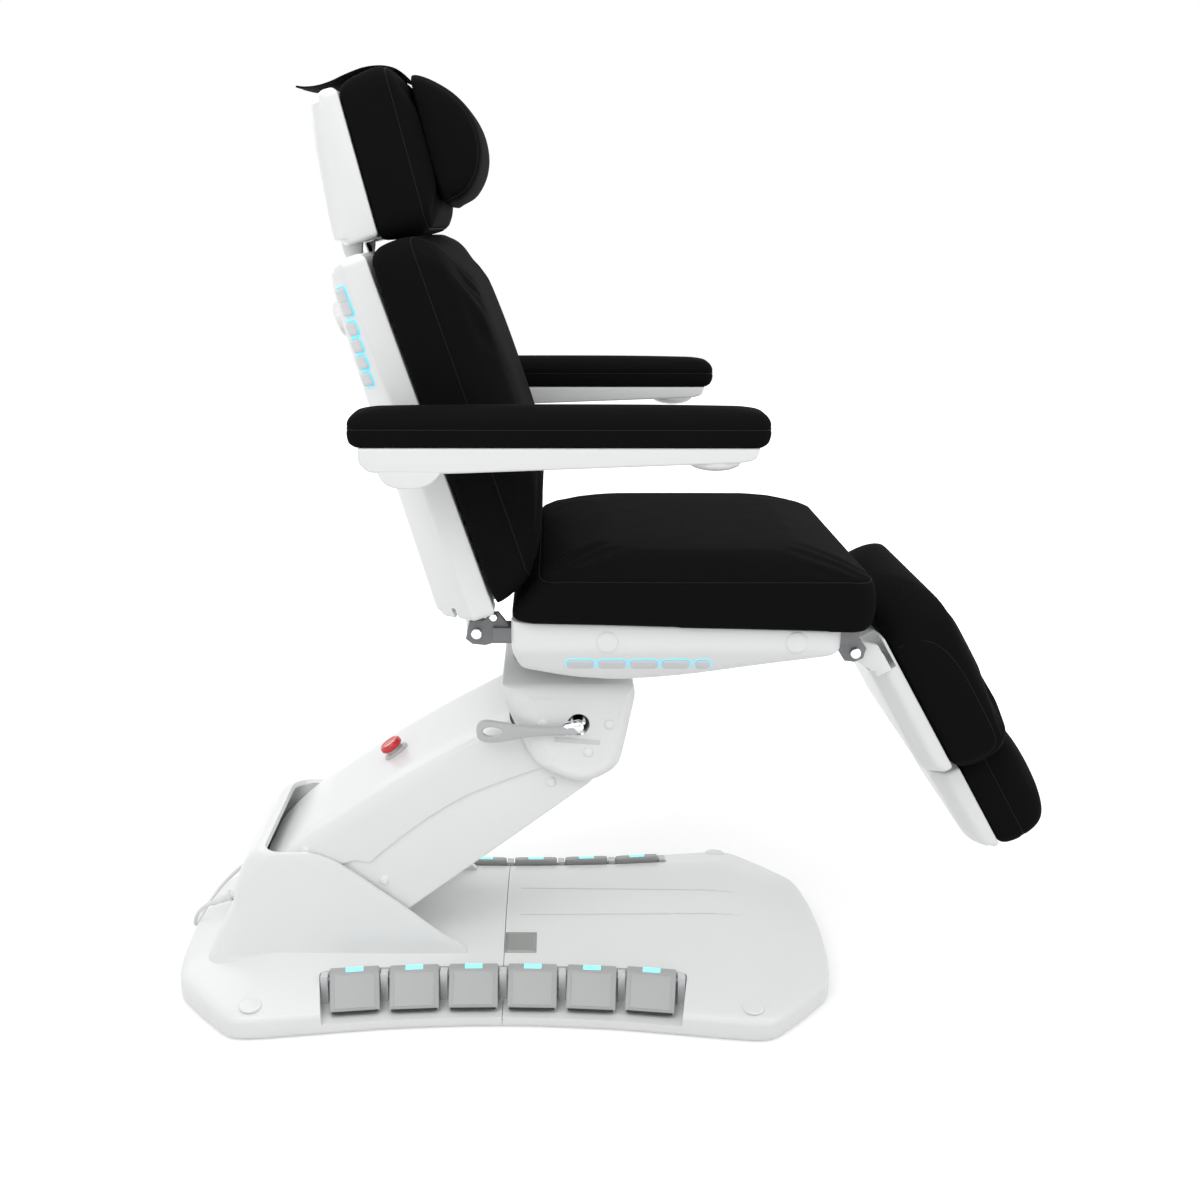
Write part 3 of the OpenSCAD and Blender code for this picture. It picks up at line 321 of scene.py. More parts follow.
def finish(name, colour, rough, metal=0.0, coat=0.0, fleck=0.04, fine=900.0, relief=0.00004,
           wear=0.05, cells=False, shine=0.5, glow=0.0, creases=0.0):
    """A procedural finish: slow colour changes, a fine relief and a roughness that varies."""
    material = bpy.data.materials.new(name)
    material.use_nodes = True
    tree = material.node_tree
    tree.nodes.clear()
    link = tree.links.new
    out = node_of(tree, "ShaderNodeOutputMaterial")
    skin = node_of(tree, "ShaderNodeBsdfPrincipled", Metallic=metal)
    skin.inputs["Coat Weight"].default_value = coat
    skin.inputs["Coat Roughness"].default_value = 0.12
    skin.inputs["Specular IOR Level"].default_value = shine
    place = node_of(tree, "ShaderNodeTexCoord")
    slow = node_of(tree, "ShaderNodeTexNoise", Scale=5.0, Detail=4.0, Roughness=0.55)
    tint = node_of(tree, "ShaderNodeMix", data_type="RGBA")
    base = np.array(colour[:3])
    tint.inputs["A"].default_value = (*np.clip(base * (1 - fleck), 0, 1), 1)
    tint.inputs["B"].default_value = (*np.clip(base * (1 + fleck), 0, 1), 1)
    spread = node_of(tree, "ShaderNodeMapRange")
    spread.inputs["To Min"].default_value = max(0.0, rough - wear)
    spread.inputs["To Max"].default_value = min(1.0, rough + wear)
    patch = node_of(tree, "ShaderNodeTexNoise", Scale=22.0, Detail=3.0, Roughness=0.6)
    if cells:
        grain = node_of(tree, "ShaderNodeTexVoronoi", feature="SMOOTH_F1", Scale=fine,
                        Smoothness=0.35)
        height = grain.outputs["Distance"]
    else:
        grain = node_of(tree, "ShaderNodeTexNoise", Scale=fine, Detail=2.0, Roughness=0.5)
        height = grain.outputs["Fac"]
    bump = node_of(tree, "ShaderNodeBump", Strength=0.35, Distance=relief)
    for texture in (slow, patch, grain):
        link(place.outputs["Object"], texture.inputs["Vector"])
    link(slow.outputs["Fac"], tint.inputs["Factor"])
    link(tint.outputs["Result"], skin.inputs["Base Color"])
    link(patch.outputs["Fac"], spread.inputs["Value"])
    link(spread.outputs["Result"], skin.inputs["Roughness"])
    link(height, bump.inputs["Height"])
    last = bump
    if creases:
        fold = node_of(tree, "ShaderNodeTexNoise", Scale=34.0, Detail=3.0, Roughness=0.45,
                       Distortion=0.6)
        soft = node_of(tree, "ShaderNodeBump", Strength=0.5, Distance=creases)
        link(place.outputs["Object"], fold.inputs["Vector"])
        link(fold.outputs["Fac"], soft.inputs["Height"])
        link(bump.outputs["Normal"], soft.inputs["Normal"])
        last = soft
    link(last.outputs["Normal"], skin.inputs["Normal"])
    if glow:
        skin.inputs["Emission Color"].default_value = (*colour[:3], 1)
        skin.inputs["Emission Strength"].default_value = glow
    link(skin.outputs["BSDF"], out.inputs["Surface"])
    return material


def finishes():
    """The chair's finishes by name, made once."""
    made = {m.name: m for m in bpy.data.materials}
    if "moulded white" not in made:
        c = bpy.context.scene.chair_colours
        finish("moulded white", c.shell, 0.34, coat=0.15, fleck=0.012, fine=700, relief=0.00003)
        finish("black leather", c.leather, 0.8, fleck=0.12, fine=1150, relief=0.00012, cells=True,
               creases=0.0006, shine=0.02, wear=0.05)
        finish("seam thread", [v * 1.8 for v in c.leather], 0.7, fleck=0.15, fine=1800,
               relief=0.0001, shine=0.1)
        finish("pedal plastic", c.pedal, 0.46, fleck=0.03, fine=1500, relief=0.00006)
        finish("pedal tread", c.tread, 0.5, fleck=0.03, fine=1700, relief=0.00008)
        # Near black: a strip on each pedal's lower lip that is painted shadow of the gap beneath
        # the pedal
        finish("pedal rubber", (0.03, 0.03, 0.03), 0.7, fine=900, relief=0.0001)
        finish("key plastic", c.key, 0.42, fleck=0.04, fine=1300, relief=0.00005)
        finish("lit line", c.light, 0.4, fleck=0.02, glow=0.5)
        finish("lit label", [min(1, v * 1.5 + 0.12) for v in c.light], 0.35, fleck=0.02, glow=0.55)
        finish("stop red", c.stop, 0.3, coat=0.4, fleck=0.03, fine=800)
        finish("stop mark", (0.9, 0.86, 0.86), 0.4)
        finish("handle grey", c.handle, 0.33, coat=0.3, fleck=0.05, fine=600)
        finish("bracket paint", c.bracket, 0.42, metal=0.35, fleck=0.08, fine=1200,
               relief=0.00006)
        finish("bright steel", c.bright, 0.16, metal=1.0, fleck=0.05, fine=1600, relief=0.00001,
               wear=0.05)
        finish("satin steel", [v * 0.75 for v in c.bright], 0.34, metal=1.0, fleck=0.06, fine=900,
               relief=0.00003, wear=0.08)
        # Near black: the coil's tie, the lift's link and head frame, and the disc of painted shade
        # behind the handle's hole
        finish("hidden dark", (0.04, 0.04, 0.042), 0.55, fleck=0.1)
        finish("blank plate", (0.36, 0.37, 0.355), 0.38, metal=0.3, fleck=0.04, fine=1400)
        finish("lead white", (0.78, 0.79, 0.79), 0.45, fleck=0.03, fine=1200, relief=0.00005)
        made = {m.name: m for m in bpy.data.materials}
    return made


# Pieces


def piece(name, points, faces, coat_of, body, stands_for=(), sharp=38):
    """A mesh from arrays with its finish, smooth up to the sharp angle, riding on a body."""
    mesh = bpy.data.meshes.new(name)
    mesh.from_pydata(np.asarray(points, float).reshape(-1, 3), [], faces)
    work = bmesh.new()
    work.from_mesh(mesh)
    bmesh.ops.recalc_face_normals(work, faces=work.faces)
    if work.calc_volume(signed=True) < 0:
        bmesh.ops.reverse_faces(work, faces=work.faces)
    work.to_mesh(mesh)
    work.free()
    obj = bpy.data.objects.new(name, mesh)
    bpy.context.scene.collection.objects.link(obj)
    mesh.materials.append(finishes()[coat_of])
    shaded(mesh, sharp)
    if body:
        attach(obj, body)
        if stands_for:
            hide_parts(*stands_for)
    return obj


def shaded(mesh, sharp):
    """Smooth shading, with a hard edge where two faces meet at more than the sharp angle."""
    mesh.shade_smooth()
    mesh.set_sharp_from_angle(angle=math.radians(sharp))


def ringed(name, rings, coat_of, body, stands_for=(), sharp=38, around=False, at=None):
    """A closed skin over rings of points, in metres or, with a place, in its millimetres."""
    rings = np.asarray(rings, float)
    if at is not None:
        rings = placed(rings, at)
    return piece(name, rings, ring_faces(len(rings), rings.shape[1], around=around), coat_of, body,
                 stands_for, sharp)


def settled(obj):
    """The object's mesh with its modifiers worked in."""
    graph = bpy.context.evaluated_depsgraph_get()
    done = bpy.data.meshes.new_from_object(obj.evaluated_get(graph), depsgraph=graph)
    obj.modifiers.clear()
    old = obj.data
    obj.data = done
    bpy.data.meshes.remove(old)
    return obj


def carve(obj, cutters, sharp=38, edge=0.0):
    """Takes the cutters' rings out of the piece, and rounds the edges that this leaves."""
    for rings in cutters:
        mesh = bpy.data.meshes.new("cutter")
        mesh.from_pydata(rings.reshape(-1, 3), [], ring_faces(len(rings), rings.shape[1]))
        work = bmesh.new()
        work.from_mesh(mesh)
        bmesh.ops.recalc_face_normals(work, faces=work.faces)
        work.to_mesh(mesh)
        work.free()
        cutter = bpy.data.objects.new("cutter", mesh)
        bpy.context.scene.collection.objects.link(cutter)
        take = obj.modifiers.new("take", "BOOLEAN")
        take.object, take.solver, take.operation = cutter, "EXACT", "DIFFERENCE"
        settled(obj)
        bpy.data.objects.remove(cutter)
        bpy.data.meshes.remove(mesh)
    if edge:
        ease = obj.modifiers.new("ease", "BEVEL")
        ease.width, ease.segments, ease.limit_method = edge, 2, "ANGLE"
        ease.angle_limit, ease.use_clamp_overlap = math.radians(50), True
        settled(obj)
    shaded(obj.data, sharp)
    return obj


def eased_copy(node, name, coat_of, width, sharp=35):
    """A CAD node's copy, its loose triangles merged and its edges rounded."""
    source = frame["nodes"][node]
    mesh = source.data.copy()
    mesh.name = name
    work = bmesh.new()
    work.from_mesh(mesh)
    bmesh.ops.remove_doubles(work, verts=work.verts, dist=0.00001)
    bmesh.ops.dissolve_limit(work, angle_limit=math.radians(0.6), verts=work.verts,
                             edges=work.edges)
    work.to_mesh(mesh)
    work.free()
    obj = bpy.data.objects.new(name, mesh)
    bpy.context.scene.collection.objects.link(obj)
    mesh.materials.clear()
    mesh.materials.append(finishes()[coat_of])
    if width:
        ease = obj.modifiers.new("ease", "BEVEL")
        ease.width, ease.segments, ease.limit_method = width, 2, "ANGLE"
        ease.angle_limit, ease.use_clamp_overlap = math.radians(sharp), True
        settled(obj)
    shaded(obj.data, sharp)
    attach(obj, source["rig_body"])
    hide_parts(node)
    return obj


def dressed(node, coat_of):
    """A CAD node that stays as it is gets its finish."""
    mesh = frame["nodes"][node].data
    mesh.materials.clear()
    mesh.materials.append(finishes()[coat_of])


def cap(name, centre, way, radius, height, body):
    """A shallow round cap, highest at its middle, seated on a moulded cover."""
    a = np.linspace(0, math.pi / 2, 6)
    profile = [(radius, -height), *zip(radius * np.cos(a) ** 0.6, height * np.sin(a))]
    profile[-1] = (radius * 0.02, height)
    rings = facing(lathe_rings(np.array(profile) * 1000, 32), np.zeros(3), way) * 0.001
    return ringed(name, rings + np.asarray(centre), "moulded white", body)


# Upholstery


def pad_rings(rows, slope=0.0, middle=0.0, shrink=0.0):
    """Rings of a cushion from rows of height, near end, far end, half width and corner radius."""
    rows = smooth(rows, 3)
    rings = []
    for height, near, far, half, corner in rows:
        ring = round_rect(near + shrink, far - shrink, half - shrink, corner)
        share = np.clip((rows[-1, 0] - height) / (rows[-1, 0] - rows[0, 0]), 0, 1)
        rings.append(np.concatenate(
            [ring, (height + slope * share * (ring[:, :1] - middle))], 1))
    return np.array(rings)


def inflated(obj, pinned, swell, voxel):
    """Remeshes the pad, blows it up as cloth held where pinned, caps its travel, smooths it."""
    stage = bpy.context.scene.chair_stage
    grid = obj.modifiers.new("grid", "REMESH")
    grid.mode, grid.voxel_size, grid.use_smooth_shade = "VOXEL", voxel, True
    settled(obj)
    count = len(obj.data.vertices)
    rest = np.zeros(count * 3)
    obj.data.vertices.foreach_get("co", rest)
    rest = rest.reshape(-1, 3)
    if stage.simulate:
        held = obj.vertex_groups.new(name="held")
        held.add(np.nonzero(pinned(rest))[0].tolist(), 1.0, "REPLACE")
        cloth = obj.modifiers.new("cloth", "CLOTH")
        s = cloth.settings
        s.quality, s.mass, s.vertex_group_mass = 4, 0.25, "held"
        s.tension_stiffness = s.compression_stiffness = 22
        s.shear_stiffness, s.bending_stiffness = 9, 1.2
        s.use_pressure, s.uniform_pressure_force = True, 4.0
        s.effector_weights.gravity = 0
        cloth.point_cache.frame_start, cloth.point_cache.frame_end = 1, CLOTH_STEPS
        for step in range(1, CLOTH_STEPS + 1):
            bpy.context.scene.frame_set(step)
        graph = bpy.context.evaluated_depsgraph_get()
        blown = np.zeros(count * 3)
        obj.evaluated_get(graph).data.vertices.foreach_get("co", blown)
        move = blown.reshape(-1, 3) - rest
        far = np.linalg.norm(move, axis=1, keepdims=True)
        rest = rest + move * np.minimum(1, swell / np.maximum(far, 1e-9))
        obj.modifiers.clear()
        obj.vertex_groups.clear()
        bpy.context.scene.frame_set(1)
    obj.data.vertices.foreach_set("co", rest.ravel())
    ease = obj.modifiers.new("even", "SMOOTH")
    ease.factor, ease.iterations = 0.5, 3
    finer = obj.modifiers.new("finer", "SUBSURF")
    finer.levels = finer.render_levels = 1
    settled(obj)
    obj.data.shade_smooth()
    return obj


def sunk_seam(obj, path, depth, width):
    """Draws the pad in by depth times exp(-(d/width)^2), with d the distance from the path."""
    count = len(obj.data.vertices)
    co, no = np.zeros(count * 3), np.zeros(count * 3)
    obj.data.vertices.foreach_get("co", co)
    obj.data.vertices.foreach_get("normal", no)
    co, no = co.reshape(-1, 3), no.reshape(-1, 3)
    near = np.full(count, 1e9)
    for part in np.array_split(np.asarray(path), 8):
        near = np.minimum(near, np.min(np.sum((co[:, None] - part[None]) ** 2, -1), 1))
    co -= no * (depth * np.exp(-near / width**2))[:, None]
    obj.data.vertices.foreach_set("co", co.ravel())
    obj.data.update()


def seam(name, obj, path, body, flat, closed=True):
    """A sewn seam: a thin welt along the path on the pad's skin, sunk in a shallow valley."""
    sizes = bpy.context.scene.chair_sizes
    path = even(np.concatenate([path, path[:1]]) if closed else path, 260)
    path = path[:-1] if closed else path
    graph = bpy.context.evaluated_depsgraph_get()
    tree = BVHTree.FromObject(obj, graph)
    hits = [tree.find_nearest(Vector(p)) for p in path]
    on_skin = np.array([h[0] for h in hits])
    out = np.array([h[1] for h in hits])
    sunk_seam(obj, on_skin, VALLEY_DEPTH, VALLEY_WIDTH)
    line = on_skin - out * WELT_DEPTH
    rings = tube_rings(line, sizes.seam, 6, flat, closed)
    return ringed(name, rings, "seam thread", body, around=closed)


def pad(name, rings, node, body, pinned, swell=None, voxel=None):
    """One cushion, from closed rings in metres to its inflated skin, standing for its node."""
    sizes = bpy.context.scene.chair_sizes
    obj = piece(name, rings, ring_faces(len(rings), rings.shape[1]), "black leather", None)
    inflated(obj, pinned, swell or sizes.swell, voxel or sizes.voxel)
    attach(obj, body)
    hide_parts(node)
    return obj


def stood_up(flat, at):
    """Points of a lying cushion in a leaning frame: its height becomes x and its length z."""
    return placed(np.stack([flat[..., 2], flat[..., 1], -flat[..., 0]], -1), at)


def at_height(line, height):
    """The flat line as points at one height."""
    return np.concatenate([line, np.full((len(line), 1), height)], 1)


def front_of(at):
    """The way that a leaning frame's x looks."""
    return placed((1, 0, 0), ((0, 0, 0), at[1]))


def local(points, at):
    """Metres as millimetres in a leaning frame, the other way round from placed."""
    (px, py, pz), lean = at
    c, s = math.cos(math.radians(lean)), math.sin(math.radians(lean))
    x, y, z = np.moveaxis(np.asarray(points) * 1000, -1, 0)
    x, z = x - px, z - pz
    return np.stack([x * c + z * s, y - py, z * c - x * s], -1)


class ChairStep(bpy.types.Operator):
    """One step of the chair"""

    bl_idname = "chair.step"
    bl_label = "Step"
    bl_options = {"REGISTER", "UNDO"}

    def execute(self, context):
        self.build(context.scene.chair_sizes, context.scene.chair_stage)
        return {"FINISHED"}


class CHAIR_OT_stage(ChairStep):
    """Camera, lamps, world and floor"""

    bl_idname = "chair.stage"
    bl_label = "Stage"

    def build(self, sizes, stage):
        scene = bpy.context.scene
        scene.view_settings.view_transform = "Standard"
        camera = bpy.data.cameras.new("camera")
        camera.lens, camera.sensor_width = stage.lens, 36
        camera.shift_x = stage.shift
        camera.dof.use_dof = False
        holder = bpy.data.objects.new("camera", camera)
        holder.location = CAMERA_PLACE
        holder.rotation_euler = [math.radians(v) for v in CAMERA_TURN]
        scene.collection.objects.link(holder)
        scene.camera = holder
        self.lamp("key", (-1.1, -2.0, 2.9), 2.2, stage.key)
        self.lamp("fill", (2.3, -1.4, 1.9), 2.0, stage.fill)
        self.lamp("top", (0.1, 0.5, 3.2), 2.6, stage.fill * 1.2)
        self.lamp("back", (-1.6, 1.9, 1.8), 1.8, stage.fill * 0.6)
        self.world(scene, stage)
        self.floor()

    def lamp(self, name, place, size, power):
        """A square lamp that looks at the chair's middle."""
        data = bpy.data.lights.new(name, "AREA")
        data.shape, data.size, data.energy = "SQUARE", size, power
        obj = bpy.data.objects.new(name, data)
        obj.location = place
        way = Vector(LAMPS_LOOK_AT) - Vector(place)
        obj.rotation_euler = way.to_track_quat("-Z", "Y").to_euler()
        bpy.context.scene.collection.objects.link(obj)

    def seen_share(self, tree):
        """1 for rays from the camera, from gloss and through glass, 0 for light on the object."""
        path = node_of(tree, "ShaderNodeLightPath")
        total = path.outputs["Is Camera Ray"]
        for ray in ("Is Glossy Ray", "Is Transmission Ray"):
            add = node_of(tree, "ShaderNodeMath", operation="MAXIMUM")
            tree.links.new(total, add.inputs[0])
            tree.links.new(path.outputs[ray], add.inputs[1])
            total = add.outputs[0]
        return total

    def world(self, scene, stage):
        world = bpy.data.worlds.new("studio")
        world.use_nodes = True
        scene.world = world
        tree = world.node_tree
        tree.nodes.clear()
        lit = node_of(tree, "ShaderNodeBackground", Strength=stage.ambient)
        seen = node_of(tree, "ShaderNodeBackground", Strength=1.0)
        for node in (lit, seen):
            node.inputs["Color"].default_value = (1, 1, 1, 1)
        mix = node_of(tree, "ShaderNodeMixShader")
        out = node_of(tree, "ShaderNodeOutputWorld")
        tree.links.new(self.seen_share(tree), mix.inputs["Fac"])
        tree.links.new(lit.outputs[0], mix.inputs[1])
        tree.links.new(seen.outputs[0], mix.inputs[2])
        tree.links.new(mix.outputs[0], out.inputs["Surface"])

    def floor(self):
        """A disc that takes the shadow and, to the camera, adds what it lacks to white."""
        turn = np.linspace(0, 2 * math.pi, FLOOR_SIDES, endpoint=False)
        points = np.stack([np.cos(turn), np.sin(turn), 0 * turn], -1) * FLOOR_RADIUS
        mesh = bpy.data.meshes.new("floor")
        mesh.from_pydata(points, [], [list(range(FLOOR_SIDES))])
        obj = bpy.data.objects.new("floor", mesh)
        bpy.context.scene.collection.objects.link(obj)
        paint = bpy.data.materials.new("floor")
        paint.use_nodes = True
        tree = paint.node_tree
        tree.nodes.clear()
        matt = node_of(tree, "ShaderNodeBsdfDiffuse")
        matt.inputs["Color"].default_value = (0.8, 0.8, 0.8, 1)
        glow = node_of(tree, "ShaderNodeEmission")
        place = node_of(tree, "ShaderNodeTexCoord")
        away = node_of(tree, "ShaderNodeVectorMath", operation="LENGTH")
        lack = node_of(tree, "ShaderNodeMapRange")
        reach = {"From Min": 1.1, "From Max": 2.2, "To Min": 0.34, "To Max": 1.0}
        for name, value in reach.items():
            lack.inputs[name].default_value = value
        tree.links.new(place.outputs["Object"], away.inputs[0])
        tree.links.new(away.outputs["Value"], lack.inputs["Value"])
        share = node_of(tree, "ShaderNodeMath", operation="MULTIPLY")
        tree.links.new(lack.outputs["Result"], share.inputs[1])
        add = node_of(tree, "ShaderNodeAddShader")
        out = node_of(tree, "ShaderNodeOutputMaterial")
        tree.links.new(self.seen_share(tree), share.inputs[0])
        tree.links.new(share.outputs[0], glow.inputs["Strength"])
        tree.links.new(matt.outputs[0], add.inputs[0])
        tree.links.new(glow.outputs[0], add.inputs[1])
        tree.links.new(add.outputs[0], out.inputs["Surface"])
        mesh.materials.append(paint)


# The lead's points, in the part's millimetres, from the strain relief to the tied coil
LEAD_RUN = [
    (-543, 20, 73), (-552, 21, 69), (-562, 24, 61), (-571, 28, 50), (-578, 33, 37),
    (-583, 40, 23), (-586, 52, 11), (-587, 70, 5), (-587, 95, 3.6), (-586, 125, 3.6),
    (-584, 160, 3.6), (-580, 200, 3.6), (-573, 240, 3.6), (-562, 280, 3.6), (-547, 318, 3.6),
    (-527, 350, 3.6), (-503, 373, 3.6), (-475, 386, 3.6), (-448, 390, 3.6), (-420, 390, 3.6),
    (-400, 390, 3.6), (-380, 390, 3.6)]
LEAD_TAIL = [(-363, 389, 45.2), (-346, 387, 42), (-329, 385, 36), (-313, 383, 28.5),
             (-298, 381, 21.5), (-285, 380, 17.4)]
COIL_MIDDLE = (-380, 430)
COIL_RADIUS, COIL_TURNS, COIL_RISE, COIL_STEPS = 40, 5, 8.4, 24
RELIEF_START = (-488, 20, 97)


def lead_path():
    """The run, then turns of x = r cos a, y = r sin a that rise by a fixed step, then the tail."""
    k = np.arange(1, COIL_TURNS * COIL_STEPS + 1)
    a = np.radians(-90 + 360 * k / COIL_STEPS)
    coil = np.stack([COIL_MIDDLE[0] + COIL_RADIUS * np.cos(a),
                     COIL_MIDDLE[1] + COIL_RADIUS * np.sin(a),
                     LEAD_RUN[-1][2] + COIL_RISE * k / COIL_STEPS], -1)
    return np.concatenate([LEAD_RUN, coil, LEAD_TAIL]) * 0.001


class CHAIR_OT_lead(ChairStep):
    """The mains lead, its strain relief, tie and plug"""

    bl_idname = "chair.lead"
    bl_label = "Lead"

    def build(self, sizes, stage):
        path = lead_path()
        rings = tube_rings(path, 0.0035, 12)
        lead = ringed("mains_lead", rings, "lead white", "base",
                      ("cord_run", "cord_coil"))
        plug = eased_copy("plug", "mains_plug", "lead white", 0.0008)
        self.relief()
        tie = self.tie()

    def relief(self):
        """A collar and a cone whose ribs swell and shrink as it tapers."""
        s = np.linspace(0, 1, 61)
        profile = [(7, -8), (7, 19.5), (10, 19.6), (10, 23.4), (7.4, 23.6)]
        ribs = [(7.2 - 2.4 * t + 0.9 * max(0, math.sin(t * 2 * math.pi * 5)) ** 0.5, 24 + 36 * t)
                for t in s]
        start = np.array(RELIEF_START, float)
        way = np.array(LEAD_RUN[0], float) - start
        rings = facing(lathe_rings([*profile, *ribs, (3.6, 60.1)], 28), start, way) * 0.001
        ringed("lead_relief", rings, "lead white", "base", ("cord_gland",))

    def tie(self):
        """A flat band round the coil's turns at one place."""
        a = math.radians(135)
        low, high = LEAD_RUN[-1][2] - 3.5, LEAD_RUN[-1][2] + COIL_RISE * COIL_TURNS + 3.5
        loop = softened([(-5, low), (5, low), (5, high), (-5, high)], 3.5)
        loop = np.concatenate([loop, loop[:1]])
        band = []
        for offset, along in ((0, -4), (0.9, -4), (0.9, 4), (0, 4)):
            line = drawn_in(loop[:-1], -0.3 - offset)
            r = COIL_RADIUS + line[:, 0]
            x = COIL_MIDDLE[0] + r * math.cos(a) - along * math.sin(a)
            y = COIL_MIDDLE[1] + r * math.sin(a) + along * math.cos(a)
            band.append(np.stack([x, y, np.maximum(line[:, 1], 0.2)], -1))
        rings = np.array(band).transpose(1, 0, 2) * 0.001
        return ringed("coil_tie", rings, "hidden dark", "base", around=True)


class CHAIR_OT_base(ChairStep):
    """The two moulded halves of the base, the shroud over the lift's foot and their trim"""

    bl_idname = "chair.base"
    bl_label = "Base"

    # A quarter of the base's plan, from the middle of its long side to its end
    quarter = [(0, 256), (60, 257), (110, 260), (192, 266), (272, 277), (330, 285.5), (385, 293),
               (414, 296), (434, 294), (450, 286), (500, 236), (547, 182), (558, 150), (566, 90),
               (570, 0)]
    # Share drawn in toward the spine, and height
    profile = [(0.006, 4), (0, 9), (0, 30), (0.003, 34.5), (0.014, 39.5), (0.034, 43),
               (0.055, 45.6), (0.1, 49.6), (0.16, 54.6), (0.26, 63.2), (0.36, 71.6), (0.47, 78.4),
               (0.58, 83.4), (0.7, 87.4), (0.8, 89.6), (0.86, 90)]
    # Up the shroud: height, rear and front end, half width at the rear and at the front
    shroud_rows = [(52, -513, -52, 163, 156), (64, -509, -57, 161, 154),
                   (72, -506, -62, 159, 152.5), (84, -500, -67, 158, 151),
                   (110, -488, -108, 157, 151),
                   (156, -465, -164, 156, 151), (191, -457, -209, 155, 151),
                   (236, -440, -269, 154, 151), (257, -420, -310, 152, 150),
                   (263, -404, -330, 149, 147)]

    def build(self, sizes, stage):
        recess = self.recess()
        head = self.half("base_cover_head", -1, ("base_shell_head",))
        well = placed(np.array([np.concatenate([softened(
            [(-452, -143), (-205, -143), (-205, 143), (-452, 143)], 20), np.full((24, 1), z)], 1)
            for z in (30, 160)]))
        carve(head, [*recess, well], 30)
        foot = self.half("base_cover_foot", 1, ("base_shell_foot",))
        carve(foot, [*recess, *self.grooves(sizes)], 30)
        self.shroud()
        for x in (-409, 409):
            for side in (-1, 1):
                at = np.array([x, side * 268, 50.2]) * 0.001
                cap(f"corner_cap_{'head' if x < 0 else 'foot'}_{'l' if side > 0 else 'r'}", at,
                    (0, side * 0.12, 1), 0.0185, 0.0022, "base")
        self.plate()
        dressed("base_frame", "key plastic")

    def half(self, name, side, stands_for):
        """The half plan drawn in toward the spine by the profile's share at each height."""
        p = np.array(self.quarter[1:], float)[::-1]
        plan = np.concatenate([p, [[0.5, 256], [0.5, -256]], (p * [1, -1])[::-1][:-1]])
        radius = np.full(len(plan), 14.0)
        radius[[len(p), len(p) + 1]] = 0.05
        plan = softened(plan, radius, 4)
        t, z = smooth(self.profile, 2).T
        x = plan[None, :, 0] + (np.minimum(330, plan[None, :, 0]) - plan[None, :, 0]) * t[:, None]
        y = plan[None, :, 1] * (1 - t[:, None])
        rings = np.stack([x * side, y * side, np.repeat(z[:, None], len(plan), 1)], -1)
        return ringed(name, rings * 0.001, "moulded white", "base", stands_for, 30)

    def recess(self):
        """The two hollows for the pedals, their walls leaning out a little."""
        half = 306.5
        wall = [(-half, 198), (-200, 186), (-110, 181.5), (0, 179), (110, 181.5), (200, 186),
                (half, 198), (half - 22, 335), (22 - half, 335)]
        rings = []
        for z, out in ((20, 2.5), (22.5, 0), (60, -1.5), (140, -5)):
            flat = drawn_in(softened(wall, 9), out)
            rings.append(at_height(flat, z))
        near = np.array(rings) * 0.001
        return [near, near * [1, -1, 1]]

    def grooves(self, sizes):
        """Slender lens-shaped cuts that follow the deck's slope."""
        made = []
        for side in (-1, 1):
            x = np.linspace(24, 425, 40)
            half = 3.0 * np.sin(np.linspace(0.12, math.pi - 0.12, 40)) ** 0.35
            y = 48 - (x - 24) * 0.016
            top = 84.4 - (x > 330) * (x - 330) * 0.004
            depth = sizes.groove * 1000
            section = [(-1.25, 14), (1.25, 14), (0.7, 4.2 - depth), (-0.7, 4.2 - depth)]
            rings = np.array([np.stack([x, side * (y + half * a), top + b], -1)
                              for a, b in section]).transpose(1, 0, 2)
            made.append(rings * 0.001)
        return made

    def shroud(self):
        """A U-shaped wall: down one side, round the rear and back, drawn in, then thickened."""
        rows = smooth(self.shroud_rows, 4)
        rings = []
        for z, rear, front, rear_half, front_half in rows:
            turn = np.radians(np.linspace(90, 180, 10))
            r = 34
            corner = np.stack([rear + r + r * np.cos(turn), rear_half - r + r * np.sin(turn)], -1)
            side = np.linspace([front, front_half], corner[0], 14)[:-1]
            rear_line = np.linspace(corner[-1], corner[-1] * [1, -1], 12)[1:-1]
            line = np.concatenate([side, corner, rear_line, (corner * [1, -1])[::-1],
                                   (side * [1, -1])[::-1]])
            rings.append(at_height(line, z))
        rings = np.array(rings) * 0.001
        rows_n, count = rings.shape[:2]
        i, j = np.arange(rows_n - 1)[:, None] * count, np.arange(count - 1)[None]
        faces = np.stack([i + j, i + j + 1, i + j + count + 1, i + j + count], -1)
        obj = piece("lift_shroud", rings, faces.reshape(-1, 4).tolist(), "moulded white", "base",
                    sharp=30)
        wall = obj.modifiers.new("wall", "SOLIDIFY")
        wall.thickness, wall.offset = 0.009, -1 if self.outward(obj) else 1
        wall.use_even_offset = True
        ease = obj.modifiers.new("ease", "BEVEL")
        ease.width, ease.segments, ease.limit_method = 0.0036, 4, "ANGLE"
        ease.angle_limit = math.radians(50)
        settled(obj)
        shaded(obj.data, 40)

    def outward(self, obj):
        """True if the wall's first face looks away from the middle."""
        face = obj.data.polygons[0]
        return face.normal.y * face.center.y > 0

